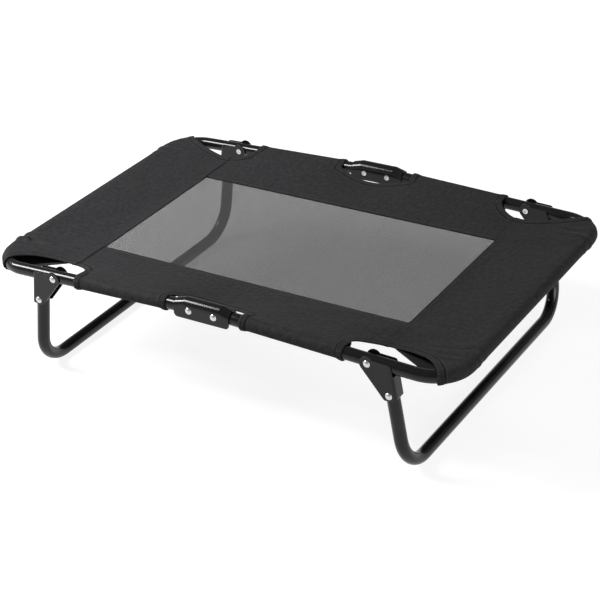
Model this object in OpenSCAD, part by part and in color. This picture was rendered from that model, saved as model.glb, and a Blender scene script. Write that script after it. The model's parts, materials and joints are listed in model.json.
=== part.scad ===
// Folding raised dog cot: two U-shaped frame halves on riveted hinge brackets,
// two U-shaped legs that fold up under them, and a fabric cover with a mesh centre.
// Millimetres. X runs along the cot, Y across it, Z up. The origin is on the floor,
// under the middle of the cot.

/* [Tube] */
// Outside diameter of the steel tube
tube_d = 22; // [20:0.5:25]
// Wall of the steel tube
tube_wall = 1.2; // [0.8:0.1:2]
// Centreline radius of every bend
bend_r = 60; // [50:1:75]

/* [Frame] */
// Distance between the axes of the two end tubes
frame_length = 882; // [800:1:1000]
// Distance between the axes of the two side tubes
frame_width = 582; // [500:1:680]
// Height of the hinge rivets above the floor
hinge_height = 210; // [180:1:260]
// Slope of each half, down from the hinge to its end, in degrees
crown_angle = 1.95; // [0.5:0.05:3]

/* [Hinge bracket] */
// Distance between the two rivets of a hinge bracket
hinge_pitch = 48; // [46:1:56]
// Length of a hinge bracket
hinge_bracket_length = 106; // [100:1:120]
// Length of its raised middle
hinge_raised_length = 66; // [60:1:76]
// How far the middle is raised, so that the tube ends can swing
hinge_rise = 4.5; // [4.5:0.1:7]
// How far the cheeks reach below the rivets
hinge_cheek_drop = 15; // [13:0.5:20]
// Radius of the lower corners of the cheeks
hinge_corner_r = 7; // [3:0.5:10]
// Length of tube past the hinge rivet
tube_stub = 6.5; // [5:0.25:6.5]

/* [Sheet metal and rivets] */
// Thickness of the bracket sheet
sheet_t = 2; // [1.5:0.1:2.5]
// Gap between a tube and the bracket round it
sheet_gap = 0.3; // [0.2:0.05:0.6]
// Diameter of a rivet's shank
rivet_d = 6; // [5:0.5:7]
// Running clearance round a rivet's shank
rivet_clearance = 0.05; // [0.02:0.01:0.1]
// Diameter of a rivet's domed head
rivet_head_d = 12; // [10:0.5:13]
// Height of a rivet's domed head
rivet_head_h = 3; // [2:0.25:4]
// Diameter of a rivet's rolled tail
rivet_tail_d = 10; // [9:0.5:12]
// Height of a rivet's rolled tail
rivet_tail_h = 1.8; // [1.2:0.1:2.5]
// Depth of the hollow in the rolled tail
rivet_tail_hollow = 0.9; // [0.5:0.1:1.1]

/* [Legs] */
// Distance along the side tube from the hinge rivet to the leg pivot
leg_pivot_distance = 280; // [270:1:290]
// Distance from the pivot to the axis of the leg
leg_offset = 29.5; // [27:0.5:34]
// Outward lean of the opened leg, in degrees
leg_splay = 8.6; // [4:0.1:12]
// Distance along the leg from the pivot down to the fixing rivet
leg_fixing_drop = 53; // [46:1:60]
// Gap at the stop between the top of the leg and the frame tube
leg_stop_gap = 0.5; // [0.3:0.1:1]
// Radius of the bracket's lobe round the pivot
bracket_lobe_r = 13; // [11:0.5:14]
// Height of the bracket's upper edge above the axis of the side tube
bracket_upper_edge = 8.5; // [6:0.5:10]
// Length of bracket below the fixing rivet
bracket_below_rivet = 8; // [7:0.5:12]
// Reach of the bracket's lower corner towards the pivot, from the leg's axis
bracket_inner_reach = 11; // [9:0.5:14]
// Radius of the bracket's lower corners
bracket_corner_r = 5; // [3:0.5:6]
// Inside radius of the two folds between the bracket's web and its cheeks
bracket_fold_r = 3; // [2:0.5:4]

/* [Cover] */
// Thickness of the cover fabric
cover_t = 0.7; // [0.5:0.1:0.9]
// Wall of the sewn sleeves round the tubes
sleeve_t = 1.2; // [1.1:0.1:1.6]
// Gap between a tube and the sleeve round it
sleeve_gap = 0.15; // [0.1:0.05:0.3]
// Width of the hem at a sleeve's end
hem_width = 12; // [8:1:16]
// How far a hem stands out from its sleeve
hem_t = 0.8; // [0.5:0.1:1]
// Start of a side sleeve, from the hinge rivet along the tube
sleeve_start = 49; // [46:1:60]
// End of a side sleeve, from the hinge rivet along the tube
sleeve_end = 239; // [225:1:240]
// Bare part of each corner bend, in degrees
corner_hem_angle = 33; // [25:1:45]
// Width of the fabric border from a side tube's axis to the mesh
side_border = 131.5; // [110:0.5:150]
// Width of the fabric border from an end tube's axis to the mesh
end_border = 140; // [125:1:150]
// How far the mesh lies below the hinge rivets
mesh_drop = 14; // [10:0.5:16]
// Thickness of the mesh
mesh_t = 1; // [0.6:0.1:1.2]
// Openings of one half's mesh, along the cot
mesh_openings_along = 12; // [8:1:12]
// Openings of the mesh, across the cot
mesh_openings_across = 12; // [8:2:12]
// Width of the webs between the openings of the mesh
mesh_web = 10; // [8:0.5:12]
// Gap at a seam between two pieces of the cover
seam_gap = 0.1; // [0.05:0.05:0.3]
// Spare room between the folding edges of the two halves
fold_clearance = 1.5; // [1:0.1:3]
// Depth of the cover's cut-out at a hinge, from the side tube's axis
centre_cut_depth = 35; // [30:1:44]
// Radius of the cover's cut-out at a hinge
centre_cut_r = 123; // [113:1:133]
// Radius of a corner cut-out round the leg bracket
leg_cut_r = 40; // [34:1:46]
// How far that round lies inside the leg pivot
leg_cut_shift = 2; // [0:1:10]
// How far that round's middle lies inside the side tube's axis
leg_cut_drop = 15; // [10:1:20]
// Radius of a corner cut-out next to the bend
bend_cut_r = 43; // [36:1:48]
// How far that round lies inside the start of the bend
bend_cut_shift = 9; // [0:1:20]
// How far inside the bend's centreline a corner cut-out meets the hem
hem_cut_inset = 33; // [25:1:40]

/* [Hidden] */

$fn = 64;
LEFT = -1;
RIGHT = 1;
FRONT = -1;
REAR = 1;
paint = "#1b1b1d";
zinc = "#c9ccd0";
oxford = "#38383a";
mesh_grey = "#77787b";

// Overshoot of a cutter past the face that it cuts
over = 1;
// Side of the plain blocks that cutters and blanks are made from
block = 4 * tube_d;
// Height of a cutter that runs right through the cover
through = 2 * hinge_height;
// Steps along the twisted sheets of the cover
sheet_steps = 8;
// How deep a cover sheet sits in the wall of its sleeve
sheet_lap = 0.1;
// How far inside a bend's centreline the sheet ends in its sleeve
bend_lap = 3;
// Tubes are cut to a whole number of these steps
cut_step = 0.01;
function cut_length(length) = cut_step * round(length / cut_step);
// Extra width of the notch in a leg bracket's web, past the inside of its cheeks
notch_ease = 0.2;

tube_r = tube_d / 2;
bore_r = tube_r - tube_wall;
rivet_hole_r = rivet_d / 2 + rivet_clearance;
side_y = frame_width / 2;
end_x = frame_length / 2;
hinge_x = hinge_pitch / 2;
// Length of a half along its slope, from the hinge rivet to the end tube's axis
half_len = cut_length((end_x - hinge_x) / cos(crown_angle));
end_axis_z = hinge_height - half_len * sin(crown_angle);
// Inside and outside of a folded bracket, from the tube's axis
channel_r = tube_r + sheet_gap;
channel_out_r = channel_r + sheet_t;

pivot_x = hinge_x + leg_pivot_distance * cos(crown_angle);
pivot_z = hinge_height - leg_pivot_distance * sin(crown_angle);
// Angle between a leg and the normal of its frame half
leg_lean = leg_splay + crown_angle;
// Distances along the leg below the pivot, to the crossbar's axis and to the top of the leg
leg_drop = cut_length((pivot_z + leg_offset * sin(leg_splay) - tube_r) / cos(leg_splay));
leg_top = cut_length(
    ((leg_offset + channel_out_r) * sin(leg_lean) + tube_r + leg_stop_gap) / cos(leg_lean)
);
bracket_bottom = leg_fixing_drop + bracket_below_rivet;

sleeve_in_r = tube_r + sleeve_gap;
sleeve_r = sleeve_in_r + sleeve_t;
hem_r = sleeve_r + hem_t;
// Turn of a bend that a hem covers
hem_turn = hem_width / bend_r * 180 / PI;
// Radius on which a cover sheet runs into the wall of its sleeve
lap_r = sleeve_in_r + sheet_lap + cover_t;
mesh_x = end_x - end_border;
mesh_y = side_y - side_border;
mesh_z = hinge_height - mesh_drop;
bend_x = end_x - bend_r;
bend_y = side_y - bend_r;
// Depth of the lowest folding edge below the hinge rivets, and the place from which it clears its twin
fold_depth = mesh_drop + max(mesh_t, cover_t);
fold_x = hinge_x - sqrt(hinge_x * hinge_x - fold_depth * fold_depth) + fold_clearance;

// Height of a side tube's axis at x
function axis_z(x) = hinge_height - (abs(x) - hinge_x) * tan(crown_angle);
// Slope and length of a sheet from an edge up on to its sleeve
function lap_angle(run, rise) = atan2(rise, run) + asin(lap_r / norm([run, rise]));
function lap_length(run, rise) = sqrt(run * run + rise * rise - lap_r * lap_r);
// Height at y of the seam between an end panel and the side strips
seam_angle = lap_angle(side_border, axis_z(mesh_x) - mesh_z);
function seam_z(y) = mesh_z + max(0, abs(y) - mesh_y) * tan(seam_angle);

// Corners of a rear side strip's section at x: inner top, outer top, outer bottom, inner bottom
function strip_section(x) =
    let (
        rise = axis_z(x) - mesh_z,
        a = lap_angle(side_border, rise),
        reach = lap_length(side_border, rise),
        inner = [x, mesh_y + seam_gap, mesh_z],
        outer = [x, mesh_y + reach * cos(a), mesh_z + reach * sin(a)],
        down = cover_t * [0, sin(a), -cos(a)]
    ) [inner, outer, outer + down, inner + down];
// Corners of a right end panel's section at y, in the same order
function end_section(y) =
    let (
        rise = end_axis_z - seam_z(y),
        a = lap_angle(end_border, rise),
        reach = lap_length(end_border, rise),
        inner = [mesh_x + seam_gap, y, seam_z(y)],
        outer = [mesh_x + reach * cos(a), y, seam_z(y) + reach * sin(a)],
        down = cover_t * [sin(a), 0, -cos(a)]
    ) [inner, outer, outer + down, inner + down];

// Turns a right-hand piece, or a rear one, into its twin
module to_side(side) { mirror([side == LEFT ? 1 : 0, 0, 0]) children(); }
module to_row(row) { mirror([0, row == FRONT ? 1 : 0, 0]) children(); }
// The right half's own frame: X outwards along its slope, from the hinge rivets
module in_half() { translate([hinge_x, 0, hinge_height]) rotate([0, crown_angle, 0]) children(); }
// The right leg's own frame: Z up along the leg, from the pivot
module in_leg() { translate([pivot_x, 0, pivot_z]) rotate([0, -leg_splay, 0]) children(); }
// Turns what runs along Z so that it runs along Y, or along X
module across() { rotate([-90, 0, 0]) children(); }
module along() { rotate([0, 90, 0]) children(); }
// Stands an outline drawn in X and Z upright, as a plate of the given thickness about Y = 0
module plate(thickness) { rotate([90, 0, 0]) linear_extrude(thickness, center = true) children(); }

// Rear quarter bend about the origin, between two angles counted from the side tube
module bend(r, from, to) {
    rotate([0, 0, 90 - to]) rotate_extrude(angle = to - from) translate([bend_r, 0]) circle(r);
}

// Solid U in the XY plane: sides along X from x0, and the end across at len
module u_rod(r, x0, len) {
    for (row = [FRONT, REAR]) {
        to_row(row) {
            translate([x0, side_y, 0]) along() cylinder(r = r, h = len - bend_r - x0);
            translate([len - bend_r, bend_y, 0]) bend(r, 0, 90);
        }
    }
    translate([len, -bend_y, 0]) across() cylinder(r = r, h = 2 * bend_y);
}

// Bent steel tube of the same path
module u_tube(x0, len) {
    difference() {
        u_rod(tube_r, x0, len);
        u_rod(bore_r, x0 - over, len);
    }
}

// Cutter for a rivet through both sides of a U, at x
module rivet_holes(x) {
    translate([x, -side_y - tube_d, 0]) across() cylinder(r = rivet_hole_r, h = 2 * (side_y + tube_d));
}

// Cutter for a rivet through both cheeks of a bracket
module cheek_holes() {
    translate([0, -block / 2, 0]) across() cylinder(r = rivet_hole_r, h = block);
}

// Rear rivet along Y: domed head on the outer cheek, rolled tail on the inner one
module rivet() {
    dome_r = (rivet_head_d * rivet_head_d / 4 + rivet_head_h * rivet_head_h) / (2 * rivet_head_h);
    translate([0, side_y, 0]) across() {
        translate([0, 0, -channel_out_r]) cylinder(d = rivet_d, h = 2 * channel_out_r);
        translate([0, 0, channel_out_r]) intersection() {
            cylinder(d = rivet_head_d, h = rivet_head_h);
            translate([0, 0, rivet_head_h - dome_r]) sphere(dome_r);
        }
        translate([0, 0, -channel_out_r - rivet_tail_h]) difference() {
            cylinder(d = rivet_tail_d, h = rivet_tail_h);
            cylinder(d1 = rivet_d, d2 = rivet_d / 3, h = rivet_tail_hollow);
        }
    }
}

module frame_tube(side) {
    color(paint) to_side(side) in_half() difference() {
        u_tube(-tube_stub, half_len);
        rivet_holes(0);
        rivet_holes(leg_pivot_distance);
    }
}

// Folded bar of the hinge bracket, without its ends: round top, open below, raised in the middle
module hinge_bar(r) {
    half_flat = hinge_raised_length / 2;
    half_bar = hinge_bracket_length / 2;
    fall = hinge_height + hinge_rise - axis_z(half_bar);
    slope = atan2(fall, half_bar - half_flat);
    mitre = block * tan(slope / 2);
    intersection() {
        translate([-half_bar, 0, hinge_rise]) hinge_length(r, 2 * half_bar);
        translate([0, 0, hinge_rise]) plate(block) polygon([
            [mitre - half_flat, -block], [half_flat - mitre, -block],
            [half_flat + mitre, block], [-half_flat - mitre, block]
        ]);
    }
    for (side = [LEFT, RIGHT]) {
        to_side(side) translate([half_flat, 0, hinge_rise]) intersection() {
            rotate([0, slope, 0]) translate([-block, 0, 0]) hinge_length(r, 2 * block);
            plate(block) polygon([[-mitre, -block], [block, -block], [block, block], [mitre, block]]);
        }
    }
}

// Straight length of that bar along X
module hinge_length(r, len) {
    rotate([90, 0, 90]) linear_extrude(len) {
        circle(r);
        translate([-r, -block]) square([2 * r, block]);
    }
}

// Side view of a hinge bracket, with its rounded lower corners
module hinge_outline() {
    half_bar = hinge_bracket_length / 2;
    corner_x = half_bar - hinge_corner_r;
    corner_z = hinge_corner_r - hinge_cheek_drop;
    translate([-half_bar, corner_z]) square([2 * half_bar, block]);
    translate([-corner_x, -hinge_cheek_drop]) square([2 * corner_x, 2 * hinge_corner_r]);
    for (x = [-corner_x, corner_x]) {
        translate([x, corner_z]) circle(hinge_corner_r);
    }
}

module hinge_bracket(row) {
    color(paint) to_row(row) translate([0, side_y, hinge_height]) difference() {
        intersection() {
            hinge_bar(channel_out_r);
            plate(block) hinge_outline();
        }
        hinge_bar(channel_r);
        for (x = [-hinge_x, hinge_x]) {
            translate([x, 0, 0]) cheek_holes();
        }
    }
}

module hinge_rivets(row) {
    color(zinc) to_row(row) for (x = [-hinge_x, hinge_x]) {
        translate([x, 0, hinge_height]) rivet();
    }
}

module leg_tube(side) {
    color(paint) to_side(side) in_leg() translate([leg_offset, 0, 0]) along() difference() {
        u_tube(leg_top, leg_drop);
        rivet_holes(leg_fixing_drop);
    }
}

// Channel round the outward side of the leg, with a flat web and rounded folds, open towards the pivot
module leg_channel(r, fold_r, spare) {
    translate([leg_offset, 0, -bracket_bottom - spare]) linear_extrude(bracket_bottom + block) {
        for (y = [fold_r - r, r - fold_r]) {
            translate([r - fold_r, y]) circle(fold_r);
        }
        translate([-block - spare, -r]) square([block + spare + r - fold_r, 2 * r]);
        translate([0, fold_r - r]) square([r, 2 * (r - fold_r)]);
    }
}

// Side view of a leg bracket: lobe round the pivot, straight upper edge, slanted inner edge
module bracket_outline() {
    low = bracket_corner_r - bracket_bottom;
    inner = leg_offset - bracket_inner_reach + bracket_corner_r;
    outer = leg_offset + channel_out_r - bracket_corner_r;
    top = leg_offset + channel_out_r - bracket_upper_edge;
    hull() {
        circle(bracket_lobe_r);
        translate([inner, low]) circle(bracket_corner_r);
    }
    hull() {
        circle(bracket_upper_edge);
        translate([inner, low]) circle(bracket_corner_r);
        translate([outer, low]) circle(bracket_corner_r);
        translate([top, -top * tan(leg_lean)]) circle(bracket_upper_edge);
    }
}

// Notch in the web, which lets the frame tube through between the two ears
module bracket_notch() {
    half_width = channel_r + notch_ease;
    rotate([0, leg_lean, 0]) translate([leg_offset, -half_width, -tube_r - leg_stop_gap]) {
        cube([block, 2 * half_width, block]);
    }
}

module leg_bracket(side, row) {
    color(paint) to_side(side) to_row(row) in_leg() translate([0, side_y, 0]) difference() {
        intersection() {
            leg_channel(channel_out_r, bracket_fold_r + sheet_t, 0);
            plate(block) bracket_outline();
        }
        leg_channel(channel_r, bracket_fold_r, over);
        bracket_notch();
        cheek_holes();
        translate([leg_offset, 0, -leg_fixing_drop]) cheek_holes();
    }
}

module pivot_rivets(side) {
    color(zinc) to_side(side) for (row = [FRONT, REAR]) {
        to_row(row) in_leg() rivet();
    }
}

module leg_fixing_rivets(side) {
    color(zinc) to_side(side) for (row = [FRONT, REAR]) {
        to_row(row) in_leg() translate([leg_offset, 0, -leg_fixing_drop]) rivet();
    }
}

// Closed sheet through a row of four-cornered sections, its upper and lower faces split alike
module sheet(sections) {
    last = len(sections) - 1;
    polyhedron(
        points = [for (section = sections) for (corner = section) corner],
        faces = concat(
            [[0, 2, 1], [0, 3, 2]],
            [for (k = [0 : last - 1], j = [0 : 3])
                let (
                    a = 4 * k + j,
                    b = 4 * k + (j + 1) % 4,
                    c = b + 4,
                    d = a + 4
                ) each j < 2 ? [[a, b, c], [a, c, d]] : [[a, b, d], [b, c, d]]],
            [[4 * last, 4 * last + 1, 4 * last + 2], [4 * last, 4 * last + 2, 4 * last + 3]]
        )
    );
}

// Cutter for the rear cut-out round a hinge bracket
module centre_cut() {
    translate([0, side_y - centre_cut_depth + centre_cut_r, 0]) cylinder(r = centre_cut_r, h = through);
}

// Cutter for the rear corner cut-out round a leg bracket, out to the hem in the bend
module corner_cut() {
    hem_dir = [sin(corner_hem_angle), cos(corner_hem_angle)];
    linear_extrude(through) hull() {
        for (drop = [0, leg_cut_drop]) {
            translate([pivot_x - leg_cut_shift, side_y - drop]) circle(leg_cut_r);
        }
        translate([bend_x - bend_cut_shift, side_y]) circle(bend_cut_r);
    }
    linear_extrude(through) polygon([
        [bend_x, bend_y] + (bend_r - hem_cut_inset) * hem_dir,
        [bend_x, bend_y] + 2 * bend_r * hem_dir,
        [bend_x, bend_y + 2 * bend_r],
        [bend_x, side_y]
    ]);
}

// Sewn sleeve round a rear side tube, with a hem at each end
module side_sleeve() {
    in_half() translate([sleeve_start, side_y, 0]) along() difference() {
        union() {
            cylinder(r = sleeve_r, h = sleeve_end - sleeve_start);
            for (start = [0, sleeve_end - sleeve_start - hem_width]) {
                translate([0, 0, start]) cylinder(r = hem_r, h = hem_width);
            }
        }
        translate([0, 0, -over]) cylinder(r = sleeve_in_r, h = sleeve_end - sleeve_start + 2 * over);
    }
}

// Outer body of the sleeve round an end tube and the covered part of its bends
module end_sleeve_body() {
    for (row = [FRONT, REAR]) {
        to_row(row) translate([half_len - bend_r, bend_y, 0]) {
            bend(sleeve_r, corner_hem_angle, 90);
            bend(hem_r, corner_hem_angle, corner_hem_angle + hem_turn);
        }
    }
    translate([half_len, -bend_y, 0]) across() cylinder(r = sleeve_r, h = 2 * bend_y);
}

module end_sleeve() {
    in_half() difference() {
        end_sleeve_body();
        u_rod(sleeve_in_r, 0, half_len);
    }
}

// Cutter for what lies outside a rear bend's sleeve
module bend_cut() {
    translate([bend_x, bend_y, 0]) difference() {
        cube([2 * bend_r, 2 * bend_r, through]);
        translate([0, 0, -over]) cylinder(r = bend_r - bend_lap, h = through + 2 * over);
    }
}

module end_panel(side) {
    reach = side_y - bend_lap;
    wing = reach - mesh_y;
    stations = concat(
        [for (k = [0 : sheet_steps]) reach - k * wing / sheet_steps],
        [for (k = [0 : sheet_steps]) -mesh_y - k * wing / sheet_steps]
    );
    color(oxford) to_side(side) {
        difference() {
            sheet([for (y = stations) end_section(y)]);
            for (row = [FRONT, REAR]) {
                to_row(row) {
                    corner_cut();
                    bend_cut();
                }
            }
        }
        end_sleeve();
    }
}

module side_strip(side, row) {
    step = (mesh_x - fold_x) / sheet_steps;
    color(oxford) to_side(side) to_row(row) {
        difference() {
            sheet([for (k = [0 : sheet_steps]) strip_section(fold_x + k * step)]);
            centre_cut();
            corner_cut();
        }
        side_sleeve();
    }
}

// Mesh of one half: a plain grid of openings, with a web along the cot's middle
module mesh_panel(side) {
    along = mesh_x - fold_x;
    across = 2 * mesh_y;
    pitch_along = (along - mesh_web) / mesh_openings_along;
    pitch_across = (across - mesh_web) / mesh_openings_across;
    opening = [pitch_along - mesh_web, pitch_across - mesh_web, mesh_t + 2 * over];
    color(mesh_grey) to_side(side) translate([fold_x, -mesh_y, mesh_z - mesh_t]) difference() {
        cube([along, across, mesh_t]);
        for (i = [0 : mesh_openings_along - 1], j = [0 : mesh_openings_across - 1]) {
            translate([mesh_web + i * pitch_along, mesh_web + j * pitch_across, -over]) cube(opening);
        }
    }
}

// Stretch of mesh between the two halves, which creases when the cot folds
module mesh_fold_band() {
    half = fold_x - seam_gap;
    color(mesh_grey) translate([-half, -mesh_y, mesh_z - mesh_t]) cube([2 * half, 2 * mesh_y, mesh_t]);
}

// Stretch of border between the two halves, which creases with the mesh
module fold_band(row) {
    half = fold_x - seam_gap;
    color(oxford) to_row(row) difference() {
        sheet([for (x = [-half, 0, half]) strip_section(x)]);
        centre_cut();
    }
}

frame_tube(LEFT);  // left_frame_tube
frame_tube(RIGHT);  // right_frame_tube
hinge_bracket(FRONT);  // front_hinge_bracket
hinge_bracket(REAR);  // rear_hinge_bracket
hinge_rivets(FRONT);  // front_hinge_rivets
hinge_rivets(REAR);  // rear_hinge_rivets
leg_tube(LEFT);  // left_leg_tube
leg_tube(RIGHT);  // right_leg_tube
leg_bracket(LEFT, FRONT);  // front_left_leg_bracket
leg_bracket(LEFT, REAR);  // rear_left_leg_bracket
leg_bracket(RIGHT, FRONT);  // front_right_leg_bracket
leg_bracket(RIGHT, REAR);  // rear_right_leg_bracket
pivot_rivets(LEFT);  // left_pivot_rivets
pivot_rivets(RIGHT);  // right_pivot_rivets
leg_fixing_rivets(LEFT);  // left_leg_fixing_rivets
leg_fixing_rivets(RIGHT);  // right_leg_fixing_rivets
end_panel(LEFT);  // left_end_panel
end_panel(RIGHT);  // right_end_panel
side_strip(LEFT, FRONT);  // front_left_side_strip
side_strip(LEFT, REAR);  // rear_left_side_strip
side_strip(RIGHT, FRONT);  // front_right_side_strip
side_strip(RIGHT, REAR);  // rear_right_side_strip
mesh_panel(LEFT);  // left_mesh_panel
mesh_panel(RIGHT);  // right_mesh_panel
mesh_fold_band();
fold_band(FRONT);  // front_fold_band
fold_band(REAR);  // rear_fold_band
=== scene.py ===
"""Looks of a folding raised dog cot: painted tube frame, sewn pocket cover, open mesh, plain studio."""

import json
import logging
import math
from abc import ABC, abstractmethod
from dataclasses import dataclass, field
from enum import Enum
from typing import ClassVar

import bpy
import numpy as np
from mathutils import Matrix, Vector

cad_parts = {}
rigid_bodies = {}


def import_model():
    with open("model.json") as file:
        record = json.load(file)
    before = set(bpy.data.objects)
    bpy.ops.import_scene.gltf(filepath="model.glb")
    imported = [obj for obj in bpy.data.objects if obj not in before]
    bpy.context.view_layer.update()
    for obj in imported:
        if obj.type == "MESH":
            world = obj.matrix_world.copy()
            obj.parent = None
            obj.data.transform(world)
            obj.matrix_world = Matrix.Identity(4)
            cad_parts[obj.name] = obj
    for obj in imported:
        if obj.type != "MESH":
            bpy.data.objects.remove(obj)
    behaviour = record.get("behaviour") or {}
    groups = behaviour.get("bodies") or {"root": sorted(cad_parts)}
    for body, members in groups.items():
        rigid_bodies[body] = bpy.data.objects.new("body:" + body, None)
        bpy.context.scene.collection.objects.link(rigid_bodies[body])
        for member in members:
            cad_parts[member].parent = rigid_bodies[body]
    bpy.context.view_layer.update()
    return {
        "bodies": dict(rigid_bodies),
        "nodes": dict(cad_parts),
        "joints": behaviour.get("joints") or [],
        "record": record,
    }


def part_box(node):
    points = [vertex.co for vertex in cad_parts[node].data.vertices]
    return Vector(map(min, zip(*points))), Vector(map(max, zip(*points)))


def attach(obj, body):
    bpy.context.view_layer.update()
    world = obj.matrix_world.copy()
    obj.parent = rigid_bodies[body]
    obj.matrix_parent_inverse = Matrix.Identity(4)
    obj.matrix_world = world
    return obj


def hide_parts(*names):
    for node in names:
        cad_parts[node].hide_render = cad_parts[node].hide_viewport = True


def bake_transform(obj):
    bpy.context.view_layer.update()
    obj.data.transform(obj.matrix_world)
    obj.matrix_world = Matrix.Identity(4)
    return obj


Piece = bpy.types.Object
Material = bpy.types.Material
Socket = bpy.types.NodeSocket
Pair = tuple[float, float]
Triple = tuple[float, float, float]
Arrays = tuple[np.ndarray, np.ndarray]

LOG = logging.getLogger("dog_cot")
MM = 0.001
CLOTH_UV = "cloth"
UP = np.array([0.0, 0.0, 1.0])
WHITE = (1.0, 1.0, 1.0, 1.0)
TINY = 1e-12
NEAR = 1e-6
SPLINE_STEPS = 12
FINE_RELIEF = 0.1 * MM
CLOTH_CREASE = math.radians(40.0)
BAND_CREASE = math.radians(50.0)
# Lines of points from a cloth's edge to the line that shows which way is inside.
INSIDE = 3


class Half(Enum):
    """The halves of the cot, with the sign of their X."""

    LEFT = -1
    RIGHT = 1

    @property
    def label(self) -> str:
        """Name of the half as the bodies use it."""
        return self.name.lower()

    @property
    def body(self) -> str:
        """Body that carries the half's tube and cover."""
        return f"{self.label}_half"


class Row(Enum):
    """The long sides of the cot, with the sign of their Y."""

    FRONT = -1
    REAR = 1

    @property
    def label(self) -> str:
        """Name of the side as the nodes use it."""
        return self.name.lower()


class Slot(Enum):
    """The record's material slots."""

    PAINT = "black_paint"
    RIVET = "zinc_rivet"
    CLOTH = "black_oxford"
    MESH = "grey_mesh"


def ease(value: float) -> float:
    """Return value held to 0..1 and eased at both ends."""
    t = min(1.0, max(0.0, value))
    return t * t * (3.0 - 2.0 * t)


def bell(value: float) -> float:
    """Return the height of a bell curve of height and width one."""
    return math.exp(-0.5 * value**2)


def unit(vectors: np.ndarray) -> np.ndarray:
    """Return the vectors at length one."""
    return vectors / np.maximum(np.linalg.norm(vectors, axis=-1, keepdims=True), TINY)


def lengths_along(points: np.ndarray) -> np.ndarray:
    """Return the distance from the first point to each point of a line."""
    steps = np.linalg.norm(np.diff(points, axis=0), axis=1)
    return np.concatenate([[0.0], np.cumsum(steps)])


def resample(points: np.ndarray, values: np.ndarray, count: int) -> np.ndarray:
    """Spread values given at a line's points evenly along the line.

    Args:
        points: Line of points, one row each.
        values: One row of values for each point.
        count: Number of rows wanted.

    Returns:
        The values at evenly spaced places along the line.
    """
    run = lengths_along(points)
    wanted = np.linspace(0.0, run[-1], count)
    return np.stack([np.interp(wanted, run, column) for column in values.T], axis=1)


def smooth_line(points: list[Triple], count: int) -> np.ndarray:
    """Draw a smooth line through a few points.

    Args:
        points: The points that the line passes.
        count: Number of points wanted on the line.

    Returns:
        Evenly spaced points on a spline through the given ones.
    """
    knots = np.array([points[0], *points, points[-1]])
    line = []
    for a, b, c, d in zip(knots[:-3], knots[1:-2], knots[2:-1], knots[3:]):
        square = 2 * a - 5 * b + 4 * c - d
        cube = 3 * b - a - 3 * c + d
        for t in np.linspace(0.0, 1.0, SPLINE_STEPS, endpoint=False):
            line.append(0.5 * (2 * b + (c - a) * t + square * t**2 + cube * t**3))
    line.append(knots[-1])
    line = np.array(line)
    return resample(line, line, count)


def deselect_all() -> None:
    """Deselect every object, since the loaded nodes come selected."""
    bpy.ops.object.select_all(action="DESELECT")


def make_active(piece: Piece) -> None:
    """Make one object the only selected one and the active one.

    Args:
        piece: The object.
    """
    deselect_all()
    piece.select_set(True)
    bpy.context.view_layer.objects.active = piece


def link(name: str, data: bpy.types.ID) -> Piece:
    """Put an object into the scene.

    Args:
        name: Name of the object.
        data: Its mesh, lamp or camera.

    Returns:
        The new object, at the origin.
    """
    thing = bpy.data.objects.new(name, data)
    bpy.context.collection.objects.link(thing)
    return thing


def new_piece(name: str, points: list[Triple], faces: list[tuple[int, ...]], material: Material) -> Piece:
    """Make a smoothly shaded piece.

    Args:
        name: Name of the piece.
        points: Its points.
        faces: Point numbers of its faces.
        material: Its finish.

    Returns:
        The new object, at the origin.
    """
    mesh = bpy.data.meshes.new(name)
    mesh.from_pydata(points, [], faces)
    mesh.polygons.foreach_set("use_smooth", np.ones(len(mesh.polygons), dtype=bool))
    mesh.materials.append(material)
    mesh.update()
    return link(name, mesh)


def face_outwards(piece: Piece) -> None:
    """Turn every face of a closed piece outwards.

    Args:
        piece: The piece, which becomes the active object.
    """
    make_active(piece)
    bpy.ops.object.mode_set(mode="EDIT")
    bpy.ops.mesh.select_all(action="SELECT")
    bpy.ops.mesh.normals_make_consistent(inside=False)
    bpy.ops.object.mode_set(mode="OBJECT")


def thicken(piece: Piece, thickness: float) -> None:
    """Round a laid-out sheet off and give it the cloth's thickness.

    Args:
        piece: The sheet.
        thickness: The cloth's thickness.
    """
    make_active(piece)
    rounding = piece.modifiers.new("rounding", "SUBSURF")
    rounding.levels = 1
    rounding.render_levels = 1
    wall = piece.modifiers.new("thickness", "SOLIDIFY")
    wall.thickness = thickness
    wall.offset = 0.0
    for modifier in (rounding.name, wall.name):
        bpy.ops.object.modifier_apply(modifier=modifier)
    bpy.ops.object.shade_smooth_by_angle(angle=CLOTH_CREASE)


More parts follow.
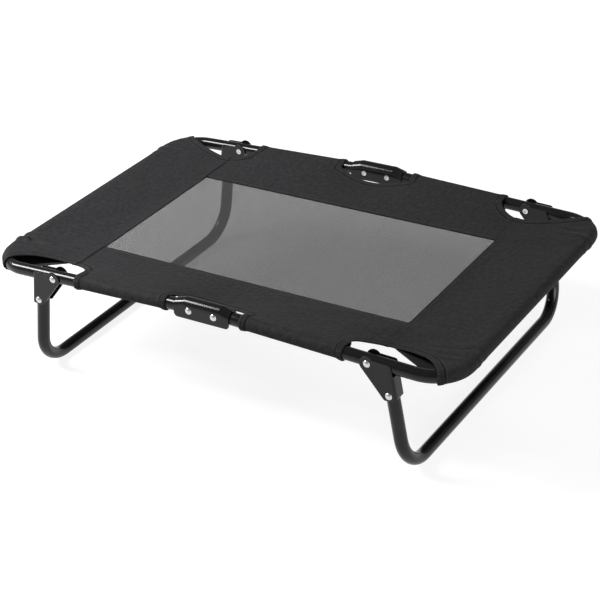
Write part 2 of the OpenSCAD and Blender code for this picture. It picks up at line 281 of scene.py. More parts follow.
class NodeSketch:
    """Adds and joins the nodes of one material."""

    def __init__(self, name: str) -> None:
        """Start a material with a Principled shader on its output.

        Args:
            name: Name of the material.
        """
        self.material = bpy.data.materials.new(name)
        self.material.use_nodes = True
        self.tree = self.material.node_tree
        self.tree.nodes.clear()
        output = self.add("ShaderNodeOutputMaterial")
        self.shader = self.add("ShaderNodeBsdfPrincipled")
        self.put(output.inputs["Surface"], self.shader.outputs["BSDF"])

    def add(self, kind: str, **settings: object) -> bpy.types.Node:
        """Add a node.

        Args:
            kind: Blender's name of the node.
            settings: Properties to set on it.

        Returns:
            The new node.
        """
        node = self.tree.nodes.new(kind)
        for key, value in settings.items():
            setattr(node, key, value)
        return node

    def put(self, target: Socket, value: object) -> None:
        """Link an output to an input, or set a plain value on the input.

        Args:
            target: The input.
            value: Output socket or plain value.
        """
        if isinstance(value, Socket):
            self.tree.links.new(value, target)
        else:
            target.default_value = value

    def fill(self, node: bpy.types.Node, **values: object) -> Socket:
        """Set or link several inputs of a node.

        Args:
            node: The node.
            values: Output sockets or plain values, under the inputs' names with _ for spaces.

        Returns:
            The node's first output.
        """
        for key, value in values.items():
            self.put(node.inputs[key.replace("_", " ")], value)
        return node.outputs[0]

    def set(self, **values: object) -> None:
        """Set or link inputs of the shader, named with _ for spaces."""
        self.fill(self.shader, **values)

    def place(self) -> Socket:
        """Return the coordinates on the object, in metres."""
        return self.add("ShaderNodeTexCoord").outputs["Object"]

    def flat(self) -> Socket:
        """Return the coordinates on the flat cloth, in metres."""
        return self.add("ShaderNodeUVMap", uv_map=CLOTH_UV).outputs["UV"]

    def noise(self, vector: Socket, scale: float, detail: float = 3.0) -> Socket:
        """Return a noise with so many features to the metre and so many octaves."""
        return self.fill(self.add("ShaderNodeTexNoise"), Vector=vector, Scale=scale, Detail=detail)

    def streaks(self, vector: Socket, scale: Pair, detail: float = 3.0) -> Socket:
        """Return a noise with its own number of features to the metre on each axis of the cloth."""
        stretched = self.fill(self.add("ShaderNodeMapping"), Vector=vector, Scale=(*scale, 1.0))
        return self.noise(stretched, 1.0, detail)

    def spread(self, value: Socket, ends: Pair) -> Socket:
        """Return a value of 0..1 mapped to the range between two numbers."""
        return self.fill(self.add("ShaderNodeMapRange"), Value=value, To_Min=ends[0], To_Max=ends[1])

    def math(self, operation: str, first: object, second: object = 0.0) -> Socket:
        """Add a math node.

        Args:
            operation: Blender's name of the operation.
            first: Socket or number.
            second: Socket or number.

        Returns:
            The result's socket.
        """
        node = self.add("ShaderNodeMath", operation=operation)
        self.put(node.inputs[0], first)
        self.put(node.inputs[1], second)
        return node.outputs[0]

    def tint(self, value: Socket, low: Triple, high: Triple, ends: Pair = (0.3, 0.7)) -> None:
        """Colour the shader by a value.

        Args:
            value: Socket that chooses the colour.
            low: Colour at the first end.
            high: Colour at the second end.
            ends: Values of the two colours.
        """
        node = self.add("ShaderNodeValToRGB")
        for element, position, colour in zip(node.color_ramp.elements, ends, (low, high)):
            element.position = position
            element.color = (*colour, 1.0)
        self.put(node.inputs[0], value)
        self.set(Base_Color=node.outputs[0])

    def bump(
        self, height: Socket, strength: float, distance: float = FINE_RELIEF, normal: Socket | None = None
    ) -> Socket:
        """Drive the shader's normal by a height.

        Args:
            height: Height of the relief, 0..1.
            strength: Share of the relief that shows.
            distance: Height in metres of a value of 1.
            normal: Normal that the relief lies on, or None for the surface's own.

        Returns:
            The new normal's socket.
        """
        node = self.add("ShaderNodeBump")
        relief = self.fill(node, Strength=strength, Distance=distance, Height=height)
        if normal is not None:
            self.put(node.inputs["Normal"], normal)
        self.set(Normal=relief)
        return relief


@dataclass(frozen=True)
class CloudyFinish:
    """Finish with clouds in its tone, smears in its gloss and a fine relief, in features to the metre."""

    slot: Slot
    dark: Triple
    light: Triple
    clouds: float
    smears: float
    rough: Pair
    relief: float
    relief_strength: float
    smear_detail: float = 3.0
    metallic: float = 0.0
    specular: float = 0.5
    edge_r: float = 0.0
    edge_samples: int = 6

    def material(self) -> Material:
        """Build the finish, with its edges softened where they have a radius.

        Returns:
            The material.
        """
        sketch = NodeSketch(self.slot.value)
        place = sketch.place()
        normal = None
        if self.edge_r > 0.0:
            edge = sketch.add("ShaderNodeBevel", samples=self.edge_samples)
            normal = sketch.fill(edge, Radius=self.edge_r)
        smears = sketch.noise(place, self.smears, self.smear_detail)
        sketch.tint(sketch.noise(place, self.clouds, detail=4.0), self.dark, self.light)
        sketch.bump(sketch.noise(place, self.relief, detail=2.0), self.relief_strength, normal=normal)
        sketch.set(
            Roughness=sketch.spread(smears, self.rough),
            Metallic=self.metallic,
            Specular_IOR_Level=self.specular,
        )
        return sketch.material


@dataclass(frozen=True)
class GlossPaint(CloudyFinish):
    """Black stove enamel on the tubes and brackets, with a fine orange peel and soft edges."""

    slot: Slot = Slot.PAINT
    dark: Triple = (0.004, 0.004, 0.0045)
    light: Triple = (0.009, 0.009, 0.0095)
    clouds: float = 22.0
    smears: float = 60.0
    rough: Pair = (0.1, 0.22)
    relief: float = 900.0
    relief_strength: float = 0.025
    smear_detail: float = 5.0
    specular: float = 0.3
    edge_r: float = 0.8 * MM


@dataclass(frozen=True)
class ZincPlate(CloudyFinish):
    """Bright zinc on the rivets, with faint clouds and hammer marks."""

    slot: Slot = Slot.RIVET
    dark: Triple = (0.52, 0.53, 0.55)
    light: Triple = (0.72, 0.73, 0.74)
    clouds: float = 260.0
    smears: float = 500.0
    rough: Pair = (0.22, 0.45)
    relief: float = 700.0
    relief_strength: float = 0.15
    metallic: float = 1.0


@dataclass(frozen=True)
class MeshYarn(CloudyFinish):
    """Coated yarn of the open mesh, with an uneven tone and a soft gloss."""

    slot: Slot = Slot.MESH
    dark: Triple = (0.023, 0.023, 0.024)
    light: Triple = (0.041, 0.041, 0.0425)
    clouds: float = 320.0
    smears: float = 90.0
    rough: Pair = (0.42, 0.6)
    relief: float = 2600.0
    relief_strength: float = 0.2


@dataclass(frozen=True)
class OxfordCloth:
    """Black coated cloth in a plain weave."""

    dark: Triple = (0.0125, 0.0125, 0.0135)
    light: Triple = (0.0265, 0.0265, 0.0285)
    tones: Pair = (0.55, 0.92)
    # Weights in the tone of the weave's height, which paints shade between the yarns and a highlight on
    # their crowns, and of the slubs, threads, clouds and mottle.
    weights: tuple[float, ...] = (0.15, 0.25, 0.15, 0.15, 0.7)
    yarn: float = 0.55 * MM
    fine: float = 900.0
    drawn_out: float = 60.0
    clouds: float = 26.0
    mottle: float = 130.0
    rough: Pair = (0.62, 0.85)
    # Features to the metre, octaves, strength and height of the crumples, the broad ones first.
    crumples: tuple[tuple[float, ...], ...] = ((38.0, 4.0, 0.5, 2.5 * MM), (115.0, 3.0, 0.5, 2.0 * MM))
    slub_height: float = 0.6
    weave_strength: float = 0.35
    sheen: float = 0.03
    sheen_rough: float = 0.5
    specular: float = 0.1

    def weave(self, sketch: NodeSketch, flat: Socket) -> Socket:
        """Draw the plain weave.

        Args:
            sketch: The cloth's material.
            flat: Coordinates on the flat cloth.

        Returns:
            The height of the yarn that lies on top, 0..1.
        """
        split = sketch.add("ShaderNodeSeparateXYZ")
        sketch.put(split.inputs[0], flat)
        turn = math.pi / self.yarn
        across, along = (
            sketch.math("SINE", sketch.math("MULTIPLY", split.outputs[k], turn)) for k in range(2)
        )
        over = sketch.math("GREATER_THAN", sketch.math("MULTIPLY", across, along), 0.0)
        mix = sketch.add("ShaderNodeMix", data_type="FLOAT")
        return sketch.fill(
            mix, Factor=over, A=sketch.math("ABSOLUTE", across), B=sketch.math("ABSOLUTE", along)
        )

    def material(self) -> Material:
        """Build the weave on the cloth's own flat coordinates, with slubs, clouds and crumples.

        Returns:
            The cloth.
        """
        sketch = NodeSketch(Slot.CLOTH.value)
        flat = sketch.flat()
        weave = self.weave(sketch, flat)
        slubs = sketch.streaks(flat, (self.drawn_out, self.fine))
        threads = sketch.streaks(flat, (self.fine, self.drawn_out))
        cloud = sketch.noise(flat, self.clouds, detail=5.0)
        mottle = sketch.noise(flat, self.mottle, detail=4.0)
        # The weave's height in the tone is painted shade between the yarns and a painted highlight on their
        # crowns.
        parts = (weave, slubs, threads, cloud, mottle)
        tone, *others = (sketch.math("MULTIPLY", part, weight) for part, weight in zip(parts, self.weights))
        for other in others:
            tone = sketch.math("ADD", tone, other)
        sketch.tint(tone, self.dark, self.light, self.tones)
        normal = None
        for scale, detail, strength, height in self.crumples:
            normal = sketch.bump(sketch.noise(flat, scale, detail), strength, height, normal)
        relief = sketch.math("ADD", weave, sketch.math("MULTIPLY", slubs, self.slub_height))
        sketch.bump(relief, self.weave_strength, normal=normal)
        sketch.set(
            Roughness=sketch.spread(cloud, self.rough),
            Sheen_Weight=self.sheen,
            Sheen_Roughness=self.sheen_rough,
            Specular_IOR_Level=self.specular,
        )
        return sketch.material


@dataclass(frozen=True)
class SewingThread:
    """Twisted dark grey thread of the top stitches."""

    dark: Triple = (0.018, 0.018, 0.019)
    light: Triple = (0.056, 0.056, 0.058)
    tones: Pair = (0.2, 0.9)
    twist: float = 480.0
    twist_strength: float = 0.3
    smears: float = 800.0
    rough: Pair = (0.45, 0.7)

    def material(self) -> Material:
        """Build the thread with its twist.

        Returns:
            The thread.
        """
        sketch = NodeSketch("sewing_thread")
        place = sketch.place()
        wave = sketch.add("ShaderNodeTexWave", bands_direction="DIAGONAL")
        sketch.fill(wave, Vector=place, Scale=self.twist)
        twist = wave.outputs["Fac"]
        # The twist's height also sets the tone: painted shade in the grooves between the plies and a
        # painted highlight on them.
        sketch.tint(twist, self.dark, self.light, self.tones)
        sketch.bump(twist, self.twist_strength)
        sketch.set(Roughness=sketch.spread(sketch.noise(place, self.smears), self.rough))
        return sketch.material


@dataclass(frozen=True)
class SeamTape:
    """Narrow dark strip of painted shade, laid in the hems' seam grooves and along the mesh border, where
    the folded cloth's edge casts its shadow.
    """

    dark: Triple = (0.003, 0.003, 0.0033)
    light: Triple = (0.009, 0.009, 0.0095)
    ribs: Pair = (1400.0, 200.0)
    rib_strength: float = 0.4
    rough: Pair = (0.7, 0.9)
    specular: float = 0.1

    def material(self) -> Material:
        """Build the painted seam shade, with fine ribs across it.

        Returns:
            The tape.
        """
        sketch = NodeSketch("seam_tape")
        ribs = sketch.streaks(sketch.flat(), self.ribs, detail=2.0)
        # The ribs' height also sets the tone: painted shade between the ribs and a painted highlight on
        # them.
        sketch.tint(ribs, self.dark, self.light)
        sketch.bump(ribs, self.rib_strength)
        sketch.set(Roughness=sketch.spread(ribs, self.rough), Specular_IOR_Level=self.specular)
        return sketch.material


@dataclass(frozen=True)
class StudioFloor:
    """Plain white floor that keeps the cot's shadow."""

    tone: Triple = (0.24, 0.24, 0.24)
    shade: float = 0.995
    clouds: float = 2.0
    rough: float = 0.9
    glow: float = 0.86

    def material(self) -> Material:
        """Build the floor, a little brighter where it is seen or mirrored.

        Returns:
            The floor's finish.
        """
        sketch = NodeSketch("studio_floor")
        darker = tuple(self.shade * value for value in self.tone)
        sketch.tint(sketch.noise(sketch.place(), self.clouds), darker, self.tone)
        rays = sketch.add("ShaderNodeLightPath").outputs
        seen = sketch.math("MAXIMUM", rays["Is Camera Ray"], rays["Is Glossy Ray"])
        seen = sketch.math("MAXIMUM", seen, rays["Is Transmission Ray"])
        sketch.set(
            Roughness=self.rough,
            Specular_IOR_Level=0.0,
            Emission_Color=WHITE,
            Emission_Strength=sketch.math("MULTIPLY", seen, self.glow),
        )
        return sketch.material


@dataclass(frozen=True)
class EdgeLine:
    """An open edge of a cloth piece, with a line of points inside it."""

    edge: np.ndarray
    inside: np.ndarray
    least_frames: int = 4
    smoothings: int = 4

    def frames(self, pitch: float) -> tuple[np.ndarray, np.ndarray, np.ndarray]:
        """Spread frames evenly along the edge.

        Args:
            pitch: Distance between frames.

        Returns:
            Points on the edge, directions into the cloth, and directions out of its face.
        """
        count = max(self.least_frames, int(lengths_along(self.edge)[-1] / pitch))
        rows = resample(self.edge, np.hstack([self.edge, unit(self.inside - self.edge)]), count)
        points, inward = rows[:, :3], rows[:, 3:]
        for _ in range(self.smoothings):
            after = np.vstack([inward[1:], inward[-1:]])
            before = np.vstack([inward[:1], inward[:-1]])
            inward = unit(inward + 0.5 * after + 0.5 * before)
        along = unit(np.gradient(points, axis=0))
        inward = unit(inward - along * np.sum(inward * along, axis=1, keepdims=True))
        outward = np.cross(along, inward)
        if outward[0, 2] < 0.0:
            outward = -outward
        return points, inward, outward


@dataclass
class ClothLayout:
    """Points, faces and flat coordinates of a cloth piece while it is laid out."""

    points: list[Triple] = field(default_factory=list)
    flat: list[Pair] = field(default_factory=list)
    faces: list[tuple[int, ...]] = field(default_factory=list)

    def add(self, point: Triple, u: float, v: float) -> int:
        """Add a point.

        Args:
            point: Place of the point.
            u: Its first coordinate on the flat cloth.
            v: Its second coordinate on the flat cloth.

        Returns:
            The point's number.
        """
        self.points.append((float(point[0]), float(point[1]), float(point[2])))
        self.flat.append((float(u), float(v)))
        return len(self.points) - 1

    def skin(self, lines: list[list[int]], flip: bool = False) -> None:
        """Join successive lines of points by faces.

        Args:
            lines: Point numbers of the lines, of the same count each.
            flip: Whether the faces are turned over.
        """
        for first, second in zip(lines, lines[1:]):
            for a, b, c, d in zip(first, first[1:], second[1:], second):
                self.faces.append((d, c, b, a) if flip else (a, b, c, d))

    def edge(self, numbers: list[int], inside: list[int]) -> EdgeLine:
        """Return the edge along a line of points, with another line inside it."""
        lines = ([self.points[k] for k in line] for line in (numbers, inside))
        return EdgeLine(*(np.array(line) for line in lines))

    def flat_size(self) -> Pair:
        """Return the width and length of the rectangle that the cloth is cut from."""
        spread = np.ptp(np.array(self.flat), axis=0)
        return float(spread[0]), float(spread[1])

    def flat_area(self) -> float:
        """Measure the flat cloth.

        Returns:
            Its area.
        """
        flat = np.array(self.flat)
        total = 0.0
        for face in self.faces:
            x, y = flat[list(face)].T
            total += 0.5 * abs(float(np.dot(x, np.roll(y, -1)) - np.dot(y, np.roll(x, -1))))
        return total

    def make(self, name: str, material: Material) -> Piece:
        """Turn the layout into an object.

        Args:
            name: Name of the piece.
            material: Finish of the piece.

        Returns:
            The new object, at the origin.
        """
        piece = new_piece(name, self.points, self.faces, material)
        corners = np.empty(len(piece.data.loops), dtype=np.int32)
        piece.data.loops.foreach_get("vertex_index", corners)
        layer = piece.data.uv_layers.new(name=CLOTH_UV)
        layer.data.foreach_set("uv", np.array(self.flat, dtype=np.float32)[corners].ravel())
        return piece


@dataclass(frozen=True)
class CoverShape:
    """Plan and heights of the stretched cover, given for the quarter where X and Y are above 0."""

    mesh_x: float
    mesh_y: float
    mesh_z: float
    side_y: float
    end_x: float
    hinge_x: float
    hinge_z: float
    fall: float
    bend_r: float = 60.0 * MM
    hem_turn: float = math.radians(57.0)
    wrap_r: float = 11.9 * MM
    cloth: float = 0.8 * MM
    lift: float = 0.6 * MM
    layer_gap: float = 1.1 * MM
    seam_lap: float = 8.0 * MM
    sleeve_start: float = 73.0 * MM
    sleeve_end: float = 258.0 * MM
    sleeve_y: float = 274.0 * MM
    centre_cut: float = 257.5 * MM
    leg_cut: float = 242.5 * MM
    cut_power: float = 1.55
    # How the cloth hangs beside the legs, with reaches along X and Y, and beside the hinges.
    leg_droop: float = 6.8 * MM
    leg_x: float = 318.0 * MM
    leg_reach: Pair = (48.0 * MM, 35.0 * MM)
    sleeve_hold: float = 28.0 * MM
    mesh_hold: float = 30.0 * MM
    centre_droop: float = 13.5 * MM
    centre_reach: float = 46.0 * MM
    # Faint ripples of the strips, which fade out at the sleeve and near the middle.
    ripple: float = 0.35 * MM
    ripple_x: float = 19.0 * MM
    ripple_y: float = 36.0 * MM
    ripple_sway: float = 2.0
    sway_y: float = 31.0 * MM
    calm_y: float = 20.0 * MM
    calm_x: float = 30.0 * MM
    still_x: float = 12.0 * MM
    # How the line where a strip's layers join comes in from the sleeve to the mesh.
    pinch_run: float = 48.0 * MM
    pinch_inset: float = 3.0 * MM

    @classmethod
    def from_frame(cls, frame: dict) -> "CoverShape":
        """Read the cover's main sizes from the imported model.


        Returns:
            The cover's shape.
        """
        mesh_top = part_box("right_mesh_panel")[1]
        tube_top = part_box("right_frame_tube")[1]
        joints = {joint["name"]: joint["pos_m"] for joint in frame["joints"]}
        hinge = joints["right_half_fold"]
        pivot = joints["right_leg_fold"]
        tube_r = 11.0 * MM
        return cls(
            mesh_x=mesh_top.x,
            mesh_y=mesh_top.y,
            mesh_z=mesh_top.z,
            side_y=tube_top.y - tube_r,
            end_x=tube_top.x - tube_r,
            hinge_x=hinge[0],
            hinge_z=hinge[2],
            fall=(hinge[2] - pivot[2]) / (pivot[0] - hinge[0]),
        )

    def tube_z(self, x: float) -> float:
        """Return the height of the tube's axis at x."""
        return self.hinge_z - (x - self.hinge_x) * self.fall

    def round_tube(self, turn: float) -> np.ndarray:
        """Return the place of the cloth round a side tube, across and up from its axis."""
        return np.array([self.wrap_r * math.cos(turn), self.wrap_r * math.sin(turn)])

    def strip_angle(self, x: float) -> float:
        """Find the slope of a side strip where it runs up to the top of the tube.

        Args:
            x: Place along the cot.

        Returns:
            The slope's angle.
        """
        run = self.side_y - self.mesh_y
        rise = self.tube_z(x) - self.mesh_z - self.lift
        return math.atan2(rise, run) + math.asin(self.wrap_r / math.hypot(run, rise))

    def droop(self, x: float, y: float) -> float:
        """Find how far the cloth hangs below its taut height beside the cut-outs.

        Args:
            x: Place along the cot.
            y: Place across the cot.

        Returns:
            The distance down.
        """
        off_x = (x - self.leg_x) / self.leg_reach[0]
        off_y = (y - self.leg_cut) / self.leg_reach[1]
        leg = math.exp(-0.5 * off_x**2 - 0.5 * off_y**2)
        held = ease((self.sleeve_y - y) / self.sleeve_hold) * ease((y - self.mesh_y) / self.mesh_hold)
        centre = bell(x / self.centre_reach) * (y - self.mesh_y) / (self.centre_cut - self.mesh_y)
        return held * self.leg_droop * leg + self.centre_droop * centre

    def strip_z(self, x: float, y: float) -> float:
        """Find the height of a side strip's cloth.

        Args:
            x: Place along the cot.
            y: Place across the cot.

        Returns:
            The height.
        """
        taut = self.mesh_z + self.lift + (y - self.mesh_y) * math.tan(self.strip_angle(x))
        swayed = x / self.ripple_x + self.ripple_sway * math.sin(y / self.sway_y)
        wave = math.sin(swayed) * math.sin((y - self.mesh_y) / self.ripple_y)
        calm = ease((self.sleeve_y - y) / self.calm_y) * ease((x - self.still_x) / self.calm_x)
        return taut - self.droop(x, y) + self.ripple * wave * calm

    def strip_edge(self, x: float) -> float:
        """Find how far out the flat part of a side strip reaches, with its cut-outs.

        Args:
            x: Place along the cot.

        Returns:
            The place across the cot.
        """
        if x < self.sleeve_start:
            rise = self.sleeve_y - self.centre_cut
            radius = (self.sleeve_start**2 + rise**2) / (2.0 * rise)
            return self.centre_cut + radius - math.sqrt(radius**2 - x**2)
        if x <= self.sleeve_end:
            return self.sleeve_y
        if x >= self.mesh_x:
            return self.leg_cut
        share = (self.mesh_x - x) / (self.mesh_x - self.sleeve_end)
        depth = max(0.0, 1.0 - share**self.cut_power) ** (1.0 / self.cut_power)
        return self.sleeve_y - (self.sleeve_y - self.leg_cut) * depth

    def pinch_y(self, x: float) -> float:
        """Return where the lower layer of a side strip joins the upper one at x."""
        share = ease(min(x - self.sleeve_start, self.sleeve_end - x) / self.pinch_run)
        return (1.0 - share) * (self.sleeve_y - self.pinch_inset) + share * (self.mesh_y + self.pinch_inset)


class BandSection(Enum):
    """Sections of the sewn bands, in mm: distance into the cloth and height over its middle."""

    HEM = (
        (-1.6, 0.2), (-1.3, 1.3), (-0.3, 1.9), (2.6, 2.0), (3.8, 1.8), (4.4, 1.2),
        (5.0, 1.7), (6.6, 1.8), (8.0, 1.5), (9.2, 0.7), (10.0, 0.5), (10.8, 0.7),
        (11.8, 0.8), (12.4, 0.5), (12.6, -0.2), (9.0, -0.7), (0.0, -0.7), (-1.2, -0.6),
    )
    # The two seam sections below are dark strips of painted shade: one in each hem's seam groove, one along
    # the mesh where the folded cloth's edge casts its shadow.
    HEM_SEAM = ((8.8, 0.3), (9.2, 0.95), (10.0, 1.15), (10.8, 0.95), (11.2, 0.3), (10.0, -0.2))
    BORDER_SEAM = ((-1.1, -0.8), (-0.9, 0.1), (-0.4, 0.4), (0.3, 0.4), (0.6, -0.2), (0.3, -0.85))


@dataclass
class SewnBand:
    """Band of one section along the edges of a cloth piece, such as a folded hem or a dark strip of painted
    seam shade.
    """

    section: BandSection
    gather: float = 0.0
    pitch: float = 1.25 * MM
    gather_run: float = 0.8 * MM
    gather_sway: float = 2.0
    sway_run: float = 11.0 * MM
    # Z of the direction out of the cloth where the gathers grow, and the fall of Z over which they do.
    level: float = 0.93
    level_run: float = 0.3
    least_gather: float = 0.25
    stitch_inset: float = 13.8 * MM
    stitch_lift: float = 0.5 * MM

    def swell(self, run: np.ndarray, outward: np.ndarray) -> np.ndarray:
        """Find how much higher the band stands at each frame where the cloth is gathered.

        Args:
            run: Distance of each frame along the edge.
            outward: Direction out of the cloth at each frame.

        Returns:
            Factors on the band's height, larger where the band goes round a tube.
        """
        round_tube = np.clip((self.level - outward[:, 2]) / self.level_run, self.least_gather, 1.0)
        wave = np.sin(run / self.gather_run + self.gather_sway * np.sin(run / self.sway_run))
        return 1.0 + self.gather * round_tube * wave

    def build(self, name: str, edges: list[EdgeLine], material: Material) -> Piece:
        """Sweep the band's section along each edge.

        Args:
            name: Name of the piece.
            edges: Edges that the band follows.
            material: The band's finish.

        Returns:
            The band, one closed tube for each edge.
        """
        layout = ClothLayout()
        profile = np.array(self.section.value) * MM
        girth = lengths_along(np.vstack([profile, profile[:1]]))
        for edge in edges:
            points, inward, outward = edge.frames(self.pitch)
            run = lengths_along(points)
            swells = self.swell(run, outward)
            rings = []
            for point, into, out, place, grow in zip(points, inward, outward, run, swells):
                ring = []
                for (a, b), v in zip(profile, girth):
                    height = b * grow if b > 0.0 else b
                    ring.append(layout.add(point + into * a + out * height, place, v))
                rings.append(ring)
            layout.skin([ring + ring[:1] for ring in rings])
            layout.faces.append(tuple(rings[0]))
            layout.faces.append(tuple(reversed(rings[-1])))
        piece = layout.make(name, material)
        face_outwards(piece)
        bpy.ops.object.shade_smooth_by_angle(angle=BAND_CREASE)
        return piece

    def stitch_line(self, edge: EdgeLine, pitch: float) -> Arrays:
        """Return points and outward directions along the top stitches beside the band."""
        points, inward, outward = edge.frames(pitch)
        return points + inward * self.stitch_inset + outward * self.stitch_lift, outward


@dataclass
class Stitching:
    """Rows of thread stitches, copied from one stitch."""

    length: float = 2.9 * MM
    width: float = 0.75 * MM
    height: float = 0.5 * MM
    pitch: float = 4.0 * MM
    inset: float = 5.0 * MM
    lift: float = 0.1 * MM
    sides: int = 6
    rings: int = 4

    def stitch(self) -> tuple[np.ndarray, list[tuple[int, ...]]]:
        """Model one stitch.

        Returns:
            Points about the stitch's middle, length on X and height on Z, and the faces.
        """
        deselect_all()
        bpy.ops.mesh.primitive_uv_sphere_add(
            segments=self.sides, ring_count=self.rings, radius=0.5, rotation=(0.0, math.pi / 2, 0.0)
        )
        piece = bpy.context.object
        bpy.ops.object.transform_apply(location=False, rotation=True, scale=False)
        bpy.ops.object.mode_set(mode="EDIT")
        bpy.ops.mesh.select_all(action="SELECT")
        bpy.ops.transform.resize(value=(self.length, self.width, self.height))
        bpy.ops.object.mode_set(mode="OBJECT")
        points = np.array([vertex.co for vertex in piece.data.vertices])
        # Blender lists the ball's faces in another order from run to run, so they are sorted.
        faces = sorted(tuple(face.vertices) for face in piece.data.polygons)
        bpy.data.objects.remove(piece)
        return points, faces

    def build(self, name: str, rows: list[Arrays], material: Material) -> Piece:
        """Copy the stitch along rows of points.

        Args:
            name: Name of the piece.
            rows: Points of each row, with the direction out of the cloth at each.
            material: The thread's finish.

        Returns:
            All the stitches as one object.
        """
        points, faces = self.stitch()
        vertices = []
        polygons = []
        for line, outward in rows:
            along = unit(np.gradient(line, axis=0))
            side = unit(np.cross(outward, along))
            up = np.cross(along, side)
            for place, x, y, z in zip(line, along, side, up):
                start = len(vertices) * len(points)
                vertices.append(place + points @ np.stack([x, y, z]))
                polygons.extend(tuple(start + k for k in face) for face in faces)
        return new_piece(name, np.concatenate(vertices).tolist(), polygons, material)


@dataclass
class ClothPanel(ABC):
    """Part of the cover's cloth in one half, with the edges that bands are sewn along."""

    shape: CoverShape
    half: Half
    layout: ClothLayout = field(default_factory=ClothLayout, init=False)
    edges: list[EdgeLine] = field(default_factory=list, init=False)
    border: list[EdgeLine] = field(default_factory=list, init=False)

    @property
    @abstractmethod
    def name(self) -> str:
        """Name of the panel's node."""

    @abstractmethod
    def lay_out(self) -> None:
        """Lay the panel's points and faces and note its edges."""

    @abstractmethod
    def seam_row(self, stitching: Stitching) -> Arrays:
        """Return points and outward directions of the stitches along the inner seam."""

    def note_border(self, lines: list[list[int]]) -> None:
        """Note the inner edge of lines that start there."""
        seam, beside = ([line[k] for line in lines] for k in (0, 1))
        self.border.append(self.layout.edge(seam, beside))

    def build(self, material: Material) -> Piece:
        """Lay out both layers of the panel and give them thickness.

        Args:
            material: The cloth's finish.

        Returns:
            The panel.
        """
        self.lay_out()
        piece = self.layout.make(self.name + "_cloth", material)
        thicken(piece, self.shape.cloth)
        return piece


